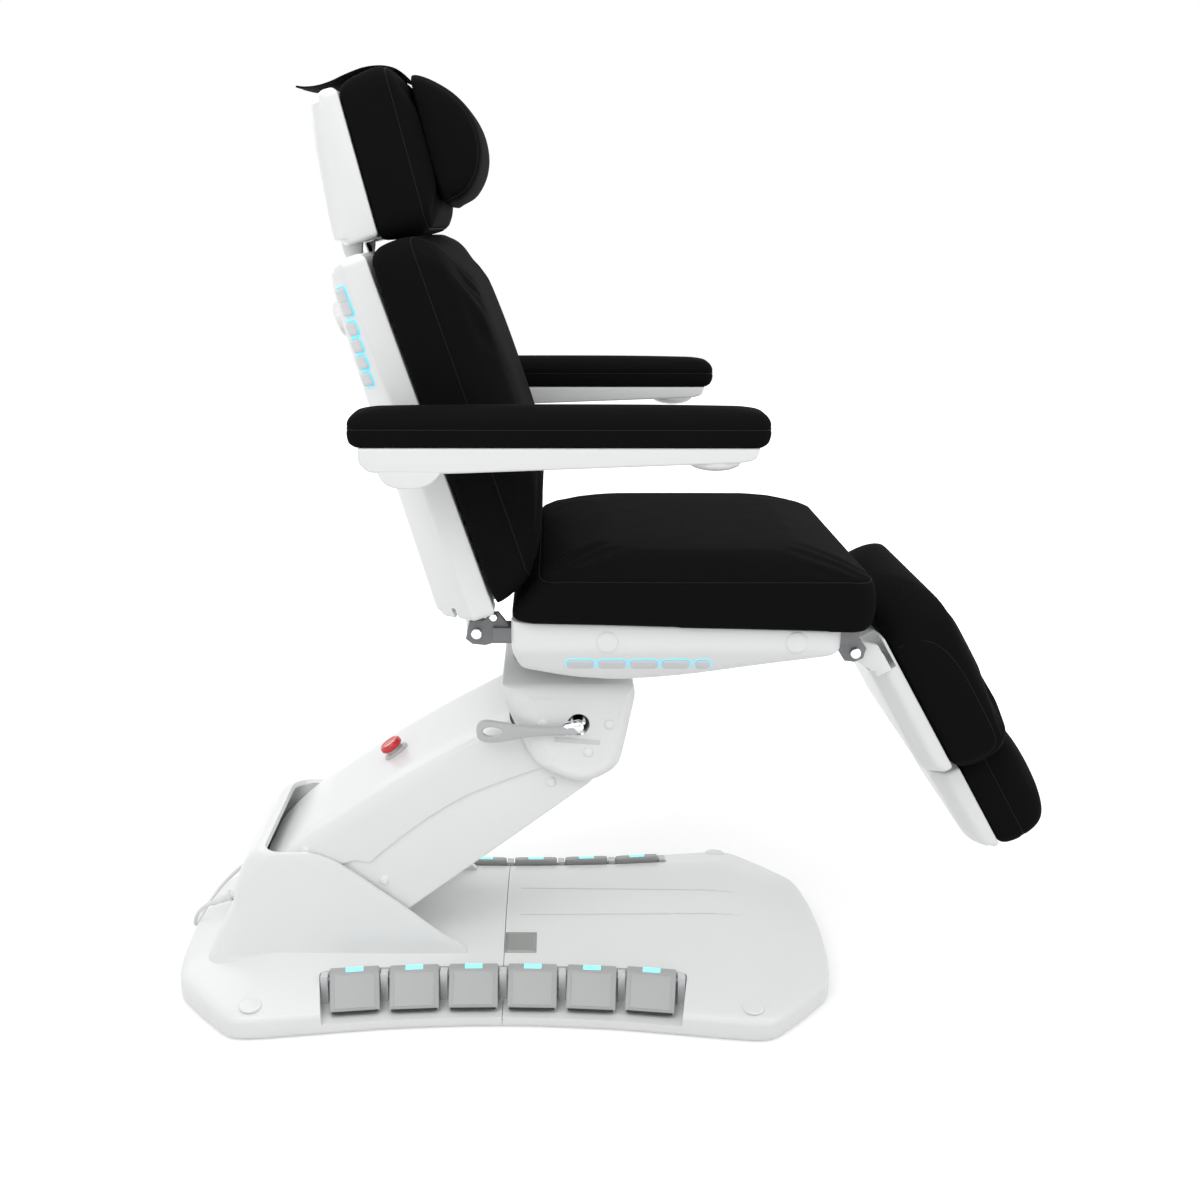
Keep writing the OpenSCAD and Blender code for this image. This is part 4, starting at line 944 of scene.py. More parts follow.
    def plate(self):
        """A blank rating plate on the deck, bent to its slope."""
        u, v = np.meshgrid(np.linspace(1.5, 55, 8), np.linspace(-101, -150, 8), indexing="ij")
        t = 1 + v / 256
        z = np.interp(t, [q[0] for q in self.profile[2:]], [q[1] for q in self.profile[2:]])
        top = np.stack([u, v, z + 0.9], -1).reshape(-1, 3)
        grid = np.arange(64).reshape(8, 8)
        quads = np.stack([grid[:-1, :-1], grid[:-1, 1:], grid[1:, 1:], grid[1:, :-1]], -1)
        obj = piece("rating_plate", top * 0.001, quads.reshape(-1, 4).tolist(), "blank plate",
                    "base")
        wall = obj.modifiers.new("wall", "SOLIDIFY")
        wall.thickness, wall.offset = 0.0012, 0
        settled(obj)


class CHAIR_OT_pedals(ChairStep):
    """Twelve pedals, each with its tread, a dark strip of painted shadow at its lower lip, and its
    lit label
    """

    bl_idname = "chair.pedals"
    bl_label = "Pedals"

    # A pedal from its side: out from its pivot, and up
    side_view = [(-10, 15), (5, 13), (49, -29), (49, -34), (38, -38), (4, -4), (-9, -6)]

    def build(self, sizes, stage):
        for letter, side in SIDES:
            for k in range(6):
                self.pedal(f"{letter}{k + 1}", side, k)

    def pedal(self, name, side, k):
        turn = math.radians(PEDAL_TURN[k])
        c, s = math.cos(turn), math.sin(turn)

        def world(p):
            """The pedal's own x, outward y and z, turned about Z and moved to its pivot."""
            x, y, z = np.moveaxis(np.asarray(p, float), -1, 0)
            wx, wy = x * c - y * s + PEDAL_X[k], x * s + y * c + 195 + PEDAL_OUT[k]
            return np.stack([wx, wy * side, z + 62], -1) * 0.001

        def block(name, outline, x0, x1, radius, coat_of, corner, stands_for=()):
            rows = eased([outline] * 2, corner, [x0, x1], radius, radius, 3, 4)
            rings = [np.stack([np.full(len(o), h), o[:, 0], o[:, 1]], -1) for o, h in rows]
            return ringed(name, world(rings), coat_of, f"pedal_{name.split('_')[1]}",
                          stands_for)

        block(f"pedal_{name}_body", self.side_view, -41, 41, 2.6, "pedal plastic",
              [3, 3.5, 3, 3, 6, 10, 4], (f"pedal_{name}",))
        way = unit(np.array([44.0, -42.0]))
        out = np.array([-way[1], way[0]])
        first, last = np.array([5.0, 13.0]) + way * 4, np.array([5.0, 13.0]) + way * 59
        block(f"tread_{name}_panel", [first - out * 2, last - out * 2, last + out * 1.2,
                                      first + out * 1.2], -33, 33, 0.9, "pedal tread", 1.0)
        # A near-black strip along the pedal's lower lip: painted shadow of the gap beneath it
        low, end = np.array([38.0, -38.0]), np.array([49.0, -34.0])
        block(f"lip_{name}_rubber", [low + [-4, 1], low + [0, -1.2], end + [1.2, -1.2],
                                     end + [0.8, 2.6], end + [-3, 1]], -37.5, 37.5, 0.6,
              "pedal rubber", 0.8)
        slope = unit(np.array([15.0, -2.0]))
        rise = np.array([-slope[1], slope[0]])
        a, b = np.array([-7.6, 14.68]), np.array([3.2, 13.24])
        block(f"label_{name}_light", [a - rise, b - rise, b + rise * 0.7, a + rise * 0.7], -14.5,
              14.5, 0.4, "lit label", 0.3)


class CHAIR_OT_lift(ChairStep):
    """The arm's two covers, the stop button, the lift head and its loop handle"""

    bl_idname = "chair.lift"
    bl_label = "Lift"

    # Along the arm: place, top and lower edge of the upper cover
    cover = [(-76, 30, -10), (-60, 36, -10), (-38, 41, -11), (-10, 46, -12), (20, 49.5, -14),
             (60, 52, -20), (80, 52.4, -26), (95, 52.5, -31), (103, 52.5, -38),
             (112, 52.6, -46.5), (121, 52.6, -47.5), (135, 52.6, -44), (184, 52.8, -38.5),
             (241, 51.6, -35), (313, 47, -37), (380, 41, -49), (452, 34, -66)]

    def build(self, sizes, stage):
        self.upper()
        self.lower(sizes)
        self.stop()
        self.casing(sizes)
        self.handle()
        for node in ("lift_link", "lift_head_frame"):
            dressed(node, "hidden dark")
        dressed("lift_actuator", "satin steel")
        eased_copy("turntable", "swivel_plate", "bracket paint", 0.001)

    def upper(self):
        """Sections across the arm: a flat top with wide round shoulders over upright sides."""
        rings = []
        for s, top, low in smooth(self.cover, 4):
            outline = [(-140, low), (140, low), (140, top - 17), (134, top - 4), (106, top),
                       (-106, top), (-134, top - 4), (-140, top - 17)]
            line = softened(outline, [2.5, 2.5, 10, 9, 14, 14, 9, 10])
            rings.append(np.stack([np.full(len(line), s), line[:, 0], line[:, 1]], -1))
        obj = ringed("arm_cover_upper", rings, "moulded white", "lift_arm",
                     ("lift_cover",), 30, at=ARM)
        inner = [(-71, 26), (-38, 36), (-10, 42), (20, 46), (60, 48), (143, 48.6), (213, 49),
                 (300, 44), (380, 37), (475, 29)]
        hollow = np.array([[(s, -136.5, -140), (s, 136.5, -140), (s, 136.5, top - 20),
                            (s, 104, top - 1), (s, -104, top - 1), (s, -136.5, top - 20)]
                           for s, top in inner])
        carve(obj, [placed(hollow, ARM)], 30)

    def lower(self, sizes):
        """The lower cover: straight below, with a round end under the lift head."""
        a = np.radians(-97 + 20.5 * np.arange(7))
        outline = [(478, 22), (330, 62), (24, 62), (22, -56), (38, -77)]
        outline += list(zip(470 + 52 * np.cos(a), 52 * np.sin(a)))
        rings = slab_rings(outline, -136, 136, 3.5, [4, 20, 6, 14, 18, 10, 9, 9, 9, 9, 9, 9], 4)
        obj = ringed("arm_cover_lower", rings, "moulded white", "parallel_arm",
                     ("parallel_link",), 30, at=LOW_ARM)
        inside = [(540, 70), (29, 70), (27, -54), (42, -71), (470, -46), (540, -34)]
        carve(obj, [placed(slab_rings(inside, -130, 130, 1, 3), LOW_ARM)], 30)
        for tag, side in SIDES:
            self.screw(f"arm_cap_low_{tag}", side)
            for letter, along, below in (("a", 113, -88.5), ("b", 448, -96)):
                at = self.low_point(along, below) + [0, side * 136.2, 0]
                cap(f"arm_cap_{letter}_{tag}", placed(at, LOW_ARM), (0, side, 0), sizes.cap,
                    CAP_RISE, "parallel_arm")

    def low_point(self, s, n):
        """A place given along the upper link, along the lower one."""
        return local(placed((s, 0, n), ARM), LOW_ARM)

    def screw(self, name, side):
        """A round cap where the cover's rear screw sits."""
        at = placed((37, side * 140.2, 30), ARM)
        cap(name, at, (0, side, 0), 0.008, CAP_RISE, "lift_arm")

    def stop(self):
        """A mushroom button over a stepped collar, with three bent arrows on its face."""
        collar = [(23, 50), (23, 55), (20, 57.5), (15, 58), (14.6, 63), (12, 64), (11.8, 50)]
        rings = lathe_rings(collar) + [STOP_ALONG, 0, 0]
        ringed("stop_collar", rings, "handle grey", "lift_arm", at=ARM)
        head = [(7.5, 38), (7.5, 62), (16.5, 62.5), (19.6, 65), (20, 68), (19.6, 71.5),
                (17.5, 74.5), (14, 75.6), (12.5, 74.6), (6, 74.4), (0.3, 74.4)]
        rings = lathe_rings(smooth(head, 3)) + [STOP_ALONG, 0, 0]
        ringed("stop_button", rings, "stop red", "estop", ("estop_button",), at=ARM)
        for k in range(3):
            a = np.radians(120 * k + np.linspace(10, 82, 14))
            line = np.stack([STOP_ALONG + 16.4 * np.cos(a), 16.4 * np.sin(a),
                             np.full(14, 75.1)], -1)
            ringed(f"stop_arrow_{k + 1}", tube_rings(line, 0.75, 6), "stop mark", "estop",
                   at=ARM)

    # The lift head from its side, x and z
    casing_side = [(-1, 562), (6, 527), (44, 439), (60, 420), (78, 410), (102, 398), (127, 392),
                   (150, 396), (176, 410), (189, 423), (195, 439), (216, 545), (212, 562)]

    def casing(self, sizes):
        """The outline's plate with wide round edges and a shallow sunk face on each flank."""
        radii = [4, 22, 24, 12, 12, 14, 14, 14, 14, 10, 16, 12, 4]
        steps = [(15, 0), (10.5, 1.2), (6, 3.6), (2.6, 7), (0.7, 11), (0, 16)]
        face = [(27, 2.6), (24.5, 2.5), (22, 1.9), (19, 0.6), (17, 0)]
        rings = []
        for d, h in face + steps:
            side = np.array(self.casing_side, float)
            side[:3, 0] += 1.3 * min(d, 15)
            o = rounded_in(side, radii, d)
            rings.append(np.stack([o[:, 0], np.full(len(o), h - 160), o[:, 1]], -1))
        rings += [r * [1, -1, 1] for r in rings[::-1]]
        obj = ringed("lift_casing", rings, "moulded white", "lift_head",
                     ("lift_head_casing",), 30, at=WORLD)
        hole = facing(lathe_rings([(18, -20), (18, 24)]), (LOCK_X, -150, LOCK_Z),
                      (0, 1, 0)) * 0.001
        inside = [(-40, 556), (-40, 380), (170, 380), (182, 440), (200, 556)]
        carve(obj, [placed(slab_rings(inside, -144, 144, 1, 3)), hole], 30)
        rim = np.radians(np.linspace(0, 360, 48, endpoint=False))
        ring = np.stack([LOCK_X + 19 * np.cos(rim), np.full(48, -157.6),
                         LOCK_Z + 19 * np.sin(rim)], -1)
        ringed("handle_hole_rim", tube_rings(ring, 1.3, 8, (0, 1, 0), True), "moulded white",
               "lift_head", around=True, at=WORLD)
        # A near-black disc just inside the casing's wall behind the handle's hole: painted shade of
        # the hollow casing
        well = facing(lathe_rings([(30, -2), (30, 2)]), (LOCK_X, -141, LOCK_Z), (0, 1, 0))
        ringed("handle_hole_painted_shade", well, "hidden dark", "lift_head", at=WORLD)
        for k, (x, z) in enumerate([(174, 496), (140, 448), (66, 496)]):
            for side in (-1, 1):
                cap(f"casing_cap_{k + 1}_{'l' if side > 0 else 'r'}",
                    np.array([x, side * 157.6, z]) * 0.001, (0, side, 0), sizes.cap, CAP_RISE,
                    "lift_head")
        plate = [(85, 465.4), (159, 460.6), (159.5, 468.6), (85.5, 473.4)]
        ringed("casing_label", slab_rings(plate, -158.4, -157.2, 0.3, 1), "key plastic",
               "lift_head", at=WORLD)

    def handle(self):
        """A flat grip that widens to a loop, its shank, and a bright fork on the locking pin."""
        at = ((LOCK_X, -171, LOCK_Z), 0)
        upper = [(-24, 1), (-50, 1.4), (-76, 2.4), (-102, 5.2), (-125, 9.6), (-146, 12.6),
                 (-157, 11)]
        lower = [(-163, 4), (-164, -8), (-161, -19), (-151, -24.6), (-130, -25.4), (-102, -20.6),
                 (-76, -15.6), (-48, -13.6), (-24, -13.6)]
        line = even(np.concatenate([smooth(upper + lower, 5), [[-24, 1]]]), 121)[:-1]
        y = [(-5.4, 3.4), (-4.4, 1.4), (-2.6, 0.35), (0, 0), (2.6, 0.35), (4.4, 1.4), (5.4, 3.4)]
        rings = [np.stack([o[:, 0], np.full(120, h), o[:, 1]], -1)
                 for o, h in ((drawn_in(line, d), h) for h, d in y)]
        obj = ringed("loop_handle", rings, "handle grey", "lever", ("lock_lever",),
                     30, at=at)
        a = np.radians(np.linspace(0, 360, 64, endpoint=False))
        c, s = math.cos(math.radians(3)), math.sin(math.radians(3))
        ex, ez = 16 * np.cos(a), (7.8 - 1.2 * np.cos(a)) * np.sin(a)
        hole = []
        for h, grow in ((-9, 4), (-5.4, 2.2), (-3.6, 0.4), (-1.5, 0), (1.5, 0), (3.6, 0.4),
                        (5.4, 2.2), (9, 4)):
            gx, gz = ex * (1 + grow / 16), ez * (1 + grow / 7.8)
            hole.append(np.stack([-138 + gx * c - gz * s, np.full(64, h), -6.6 + gx * s + gz * c],
                                 -1))
        carve(obj, [placed(np.array(hole), at)], 30)
        shank = [(3.2, 20), (6.2, 24), (6.6, 34), (5.2, 38), (7.4, 42), (7.4, 60)]
        ringed("handle_shank", facing(lathe_rings(shank, 24), (-0.5, 0, -6.2), (-1, 0, 0)),
               "handle grey", "lever", at=((LOCK_X + 20, -171, LOCK_Z), 0))
        for k, y0 in enumerate((-8, 4)):
            fork = [(-24, -11), (6, -11), (12, -4), (12, 4), (6, 9), (-20, 3)]
            ringed(f"handle_fork_{k + 1}", slab_rings(fork, y0, y0 + 4, 0.8, 4), "bright steel",
                   "lever", at=((LOCK_X - 4, -165, LOCK_Z + 1), 0))
        for k, (dx, dz, r) in enumerate([(0, 0, 7), (-10, 8, 3), (8, 9, 3), (6, -9, 3.4)]):
            pin = [(0.2, -14), (r * 0.7, -14), (r, -12.6), (r, 48 if k == 0 else 16),
                   (0.2, 48 if k == 0 else 16)]
            ringed(f"handle_pin_{k + 1}", facing(lathe_rings(pin, 24), (dx, 0, dz), (0, 1, 0)),
                   "bright steel", "lever", at=((LOCK_X, -162, LOCK_Z), 0))


def key_rings(width, height, depth, proud, corner):
    """A key: a round-cornered plate whose face swells by a shallow dome, its back at the depth."""
    w, h = width / 2, height / 2
    plate = [(-w, -h), (w, -h), (w, h), (-w, h)]
    rows = [(rounded_in(plate, corner, d, 6), rise) for d, rise in
            ((0, depth), (0, 1.6 - proud), (0.5, 0.7 - proud), (1.5, 0.15 - proud),
             (4, -0.45 - proud))]
    return np.array([np.stack([o[:, 0], np.full(len(o), h), o[:, 1]], -1) for o, h in rows])


def light_arch(width, height, corner):
    """Three sides of the key's surround: up one side, over the top and down the other."""
    w, h = width / 2, height / 2
    turn = np.radians(np.linspace(0, 90, 7))
    right = np.stack([w - corner + corner * np.cos(turn), h - corner + corner * np.sin(turn)], -1)
    left = right[::-1] * [-1, 1]
    return np.concatenate([[[w, -h * 0.7]], right, left, [[-w, -h * 0.7]]])


def key_world(points, frame_of):
    """Key coordinates in metres: the columns of the frame are its X, outward and up directions."""
    origin, x, out, up = (np.asarray(v, float) for v in frame_of)
    p = np.asarray(points, float)
    return (origin + p[..., :1] * x - p[..., 1:2] * out + p[..., 2:] * up)


class CHAIR_OT_seat(ChairStep):
    """The tray under the seat, its keys and lights, the brackets and the seat pad"""

    bl_idname = "chair.seat"
    bl_label = "Seat"

    # Along the tray: place, half width, height of the top and of the bottom
    stations = [(20, 246, 700.5, 664), (21.2, 253, 700.5, 655), (25, 259, 700.4, 640),
                (31, 261.6, 700.2, 627), (38, 262, 700, 617.5), (60, 262, 699.4, 611),
                (110, 262, 698, 600.5), (150, 262, 697.4, 596.4), (186, 262, 696.4, 594.6),
                (240, 262, 694.8, 598.4), (303, 262, 693, 606.6), (400, 262, 690.4, 624.4),
                (470, 262, 688.4, 637), (496, 261.8, 687.6, 642.4), (507, 259, 687.3, 648),
                (514, 253, 687.1, 656), (516.4, 246, 687, 664)]

    def build(self, sizes, stage):
        self.tray()
        self.keys(sizes)
        self.seat_pad()
        eased_copy("seat_frame", "seat_brackets", "bracket paint", 0.0006)
        dressed("seat_actuators", "satin steel")
        self.pins()

    def tray(self):
        rings = []
        for x, half, top, low in smooth(self.stations, 3):
            side = min(655, top - 20)
            slant = np.clip((655 - low) / 60, 0.02, 1) * 34
            outline = [(-half + slant, low), (half - slant, low), (half, max(side, low + 3)),
                       (half, top), (-half, top), (-half, max(side, low + 3))]
            line = softened(outline, [18, 18, 9, 4, 4, 9], 5)
            rings.append(np.stack([np.full(len(line), x), line[:, 0], line[:, 1]], -1))
        obj = ringed("seat_tray", rings, "moulded white", "seat", ("seat_shell",),
                     28, at=WORLD)
        cuts = []
        for x0, x1 in ((-10, 42), (500, 560)):
            for side in (-1, 1):
                y = sorted((side * 198, side * 240))
                cuts.append(placed(slab_rings([(x0, 657), (x1, 657), (x1, 720), (x0, 720)],
                                              *y, 0.2)))
        hollow = [(40, 614), (110, 606), (186, 600), (303, 612), (490, 646), (490, 720),
                  (40, 720)]
        cuts.append(placed(slab_rings(hollow, -222, 222, 2, 6)))
        cuts.append(placed(slab_rings([(30, 560), (205, 560), (205, 622), (30, 622)], -104, 104,
                                      1)))
        carve(obj, cuts, 28)
        for x in (164, 448):
            for side in (-1, 1):
                at = np.array([x, side * 262, 669]) * 0.001
                cap(f"tray_cap_{x}_{'l' if side > 0 else 'r'}", at, (0, side, 0), 0.017, 0.0025,
                    "seat")

    def key_frame(self, x, side):
        tilt = math.radians(31.7)
        return (np.array([x, side * 246.5, 630]) * 0.001, (0.001, 0, 0),
                (0, side * 0.001 * math.cos(tilt), -0.001 * math.sin(tilt)),
                (0, side * 0.001 * math.sin(tilt), 0.001 * math.cos(tilt)))

    def keys(self, sizes):
        places = [(124.5 + 48.2 * k, 41) for k in range(4)] + [(309.5, 21)]
        for side, tag in ((-1, "r"), (1, "l")):
            for k, (x, width) in enumerate(places):
                frame_of = self.key_frame(x, side)
                rings = key_world(key_rings(width, 19, 9, 3, 6), frame_of)
                if side < 0:
                    name, body, old = f"seat_key_{k + 1}_cap", f"seat_key_{k + 1}", \
                        (f"seat_key_{k + 1}",)
                else:
                    name, body, old = f"far_key_{k + 1}_cap", "seat", ()
                ringed(name, rings, "key plastic", body, old)
                arch = light_arch(width + 3.4, 22.4, 7)
                line = np.stack([arch[:, 0], np.full(len(arch), -0.9), arch[:, 1]], -1)
                line = key_world(line, frame_of)
                ringed(f"seat_light_{tag}{k + 1}", tube_rings(line, sizes.light_line, 8,
                                                              frame_of[2]), "lit line", "seat")

    def seat_pad(self):
        rows = [(694, 24, 554, 275, 26), (704, 18, 562, 280.5, 30), (722, 29, 566, 282, 31),
                (742, 44, 566, 282, 32), (762, 58, 562, 281.5, 34), (772, 66, 555, 280, 36),
                (782, 79, 540, 272.5, 44), (789, 96, 518, 256, 52), (792.6, 122, 492, 236, 56),
                (794.4, 160, 462, 200, 56), (795.4, 220, 420, 140, 50)]
        rings = placed(pad_rings(rows, SEAT_SLOPE, 283, 1.5))
        held = lambda co: (co[:, 2] < 0.704) | (np.abs(co[:, 2] - 0.767) < 0.0035)
        obj = pad("seat_pad", rings, "seat_cushion", "seat", held)
        line = round_rect(61, 559.5, 281.5, 34)
        seam("seat_seam", obj, placed(at_height(line, 767)), "seat", (0, 0, 1))

    def pins(self):
        """Bright ends of the hinge pins, and the bolts beside them."""
        for tag, side in SIDES:
            for name, x, y, z, r in (("back", -33, 236.4, 674, 8.2), ("leg", 543, 236.4, 644, 8.2),
                                     ("stop", -7, 236.4, 700, 6.2)):
                profile = [(r - 1.4, -1), (r - 1.4, 0.6), (r, 0.8), (r, 2.2), (r - 1, 3.2),
                           (0.2, 3.4)]
                ringed(f"pin_{name}_{tag}", facing(lathe_rings(profile, 24), (x, side * y, z),
                                                   (0, side, 0)), "bright steel", "seat",
                       at=WORLD)


class CHAIR_OT_back(ChairStep):
    """The back's shell, its keys, rocker, knob and pad"""

    bl_idname = "chair.back"
    bl_label = "Back"

    # Up the back: height, and how far the rear face lies behind the panel
    sections = [(25, -50), (40, -57), (150, -52), (270, -46), (379, -40), (476, -33), (540, -25),
                (578, -13)]

    def build(self, sizes, stage):
        self.shell()
        self.keys(sizes)
        self.knob()
        self.back_pad()
        dressed("back_frame", "satin steel")

    def shell(self):
        shapes = []
        for _, rear in self.sections:
            edge = 262 - 57 * (rear - 4) / -37
            shapes.append([(41, -262), (41, 262), (4, 262), (rear, edge), (rear, -edge),
                           (4, -262)])
        rings = tower_rings(shapes, [3, 3, 5, 9, 9, 5], [q[0] for q in self.sections], 9, 13)
        obj = ringed("back_cover", rings, "moulded white", "back", ("back_shell",),
                     28, at=BACK)
        cuts = []
        for side in (-1, 1):
            y = sorted((side * 170, side * 226))
            cuts.append(placed(slab_rings([(-26, 0), (60, 0), (60, 45), (-26, 45)], *y, 0.3),
                               BACK))
            rod = facing(lathe_rings([(11, 0), (11, 100)]), (4, side * 60, 500), (0, 0, 1))
            cuts.append(placed(rod, BACK))
            axle = facing(lathe_rings([(14, 0), (14, 60)]), (10.8, side * 226, 287.7),
                          (0, side, 0))
            cuts.append(placed(axle, BACK))
        hollow = [(-20, 60), (60, 60), (60, 560), (0, 560)]
        cuts.append(placed(slab_rings(hollow, -200, 200, 2, 4), BACK))
        carve(obj, cuts, 28)

    def chamfer_frame(self, z, side):
        """Axes of a key on the chamfer: across it, out of it and up the back."""
        share = 0.5 + (484 - z) * 0.0028
        run = unit(np.array([-37.0, 57.0 * -side]))
        origin = np.array([4 - 37 * share, side * (262 - 57 * share), z])
        out = np.array([-57.0, side * 37.0]) / math.hypot(57, 37)
        turned = lambda v: placed(v, ((0, 0, 0), BACK[1]))
        return (placed(origin, BACK), turned(np.array([-run[0] * side, -run[1] * side, 0]) * -side),
                turned(np.array([out[0], out[1], 0])), turned(np.array([0.0, 0.0, 1.0])))

    def keys(self, sizes):
        for side, tag in ((-1, "r"), (1, "l")):
            for k, z in enumerate(BACK_KEY_ROW):
                frame_of = self.chamfer_frame(z, side)
                rings = key_world(key_rings(33, 19, 9, 3, 5), frame_of)
                near = side < 0
                ringed(f"back_key_{k + 1}_cap" if near else f"far_back_key_{k + 1}_cap", rings,
                       "key plastic", f"back_key_{k + 1}" if near else "back",
                       (f"back_key_{k + 1}",) if near else ())
                self.light(f"back_light_{tag}{k + 1}", frame_of, 36, 22, sizes)
            frame_of = self.chamfer_frame(522, side)
            self.light(f"back_light_{tag}5", frame_of, 34, 43, sizes)
            name = "rocker_cap" if side < 0 else "far_rocker_cap"
            z = np.array([-19.2, -17.6, -10, -3, -0.7, 0, 0.7, 3, 10, 17.6, 19.2])
            y = np.array([-1.6, -3.4, -3.3, -3.0, -2.3, -1.6, -2.3, -3.0, -3.3, -3.4, -1.6])
            line = np.concatenate([np.stack([z, y], -1), [[19.2, 3], [9, 7], [-9, 7],
                                                          [-19.2, 3]]])
            rows = eased([line[:, ::-1]] * 2, 0.8, [-14.4, 14.4], 1.2, 1.2, 4, 3)
            rings = np.array([np.stack([np.full(len(o), h), o[:, 0], o[:, 1]], -1)
                              for o, h in rows])
            ringed(name, key_world(rings, frame_of), "key plastic",
                   "rocker" if side < 0 else "back",
                   ("back_rocker",) if side < 0 else ())

    def light(self, name, frame_of, width, height, sizes):
        arch = light_arch(height, width, 7)[:, ::-1] * -1
        line = np.stack([arch[:, 0], np.full(len(arch), -0.8), arch[:, 1]], -1)
        line = key_world(line, frame_of)
        ringed(name, tube_rings(line, sizes.light_line, 8, frame_of[2]), "lit line", "back")

    def knob(self):
        """A round knob with shallow finger hollows round its rim."""
        a = np.linspace(0, 2 * math.pi, 96, endpoint=False)
        grip = 1 - 0.035 * np.maximum(0, np.cos(6 * a)) ** 3
        profile = np.array([(27, 0), (28.6, 1.2), (29.4, 3.5), (29.4, 13.5), (28.4, 16.6),
                            (25.5, 18.4), (20, 19), (15, 18.2), (0.3, 18)])
        r, h = profile.T
        rings = np.stack([np.outer(r, np.cos(a) * grip), np.outer(r, np.sin(a) * grip),
                          np.repeat(h[:, None], 96, 1)], -1)
        rings = facing(rings, (-52.2, 0, 500), (-1, 0, 0))
        ringed("clamp_knob", rings, "moulded white", "knob", ("head_knob",),
               at=BACK)
        seat = lathe_rings([(14, 0), (14, 28), (11, 28.2), (0.3, 28.3)])
        ringed("knob_seat", facing(seat, (-24, 0, 500), (-1, 0, 0)), "moulded white", "back",
               at=BACK)

    def back_pad(self):
        rows = [(46, -567, -36, 269, 24), (60, -578, -38, 275, 30), (90, -580, -50, 276, 34),
                (108, -577.5, -61, 275.5, 36), (130, -570, -84, 270, 42),
                (146, -551, -112, 261, 50), (155, -524, -138, 241, 60),
                (162, -474, -176, 205, 60), (166.4, -406, -215, 165, 50),
                (168.2, -345, -260, 125, 30)]
        rings = stood_up(pad_rings(rows, shrink=1.5), BACK)
        held = lambda co: (local(co, BACK)[:, 0] < 54) | (np.abs(self.seam_off(co)) < 3.5)
        obj = pad("back_pad", rings, "back_cushion", "back", held)
        line = round_rect(-575.5, -63, 275.5, 36)
        seam("back_seam", obj, stood_up(at_height(line, 108), BACK), "back", front_of(BACK))

    def seam_off(self, co):
        return local(co, BACK)[:, 0] - 108


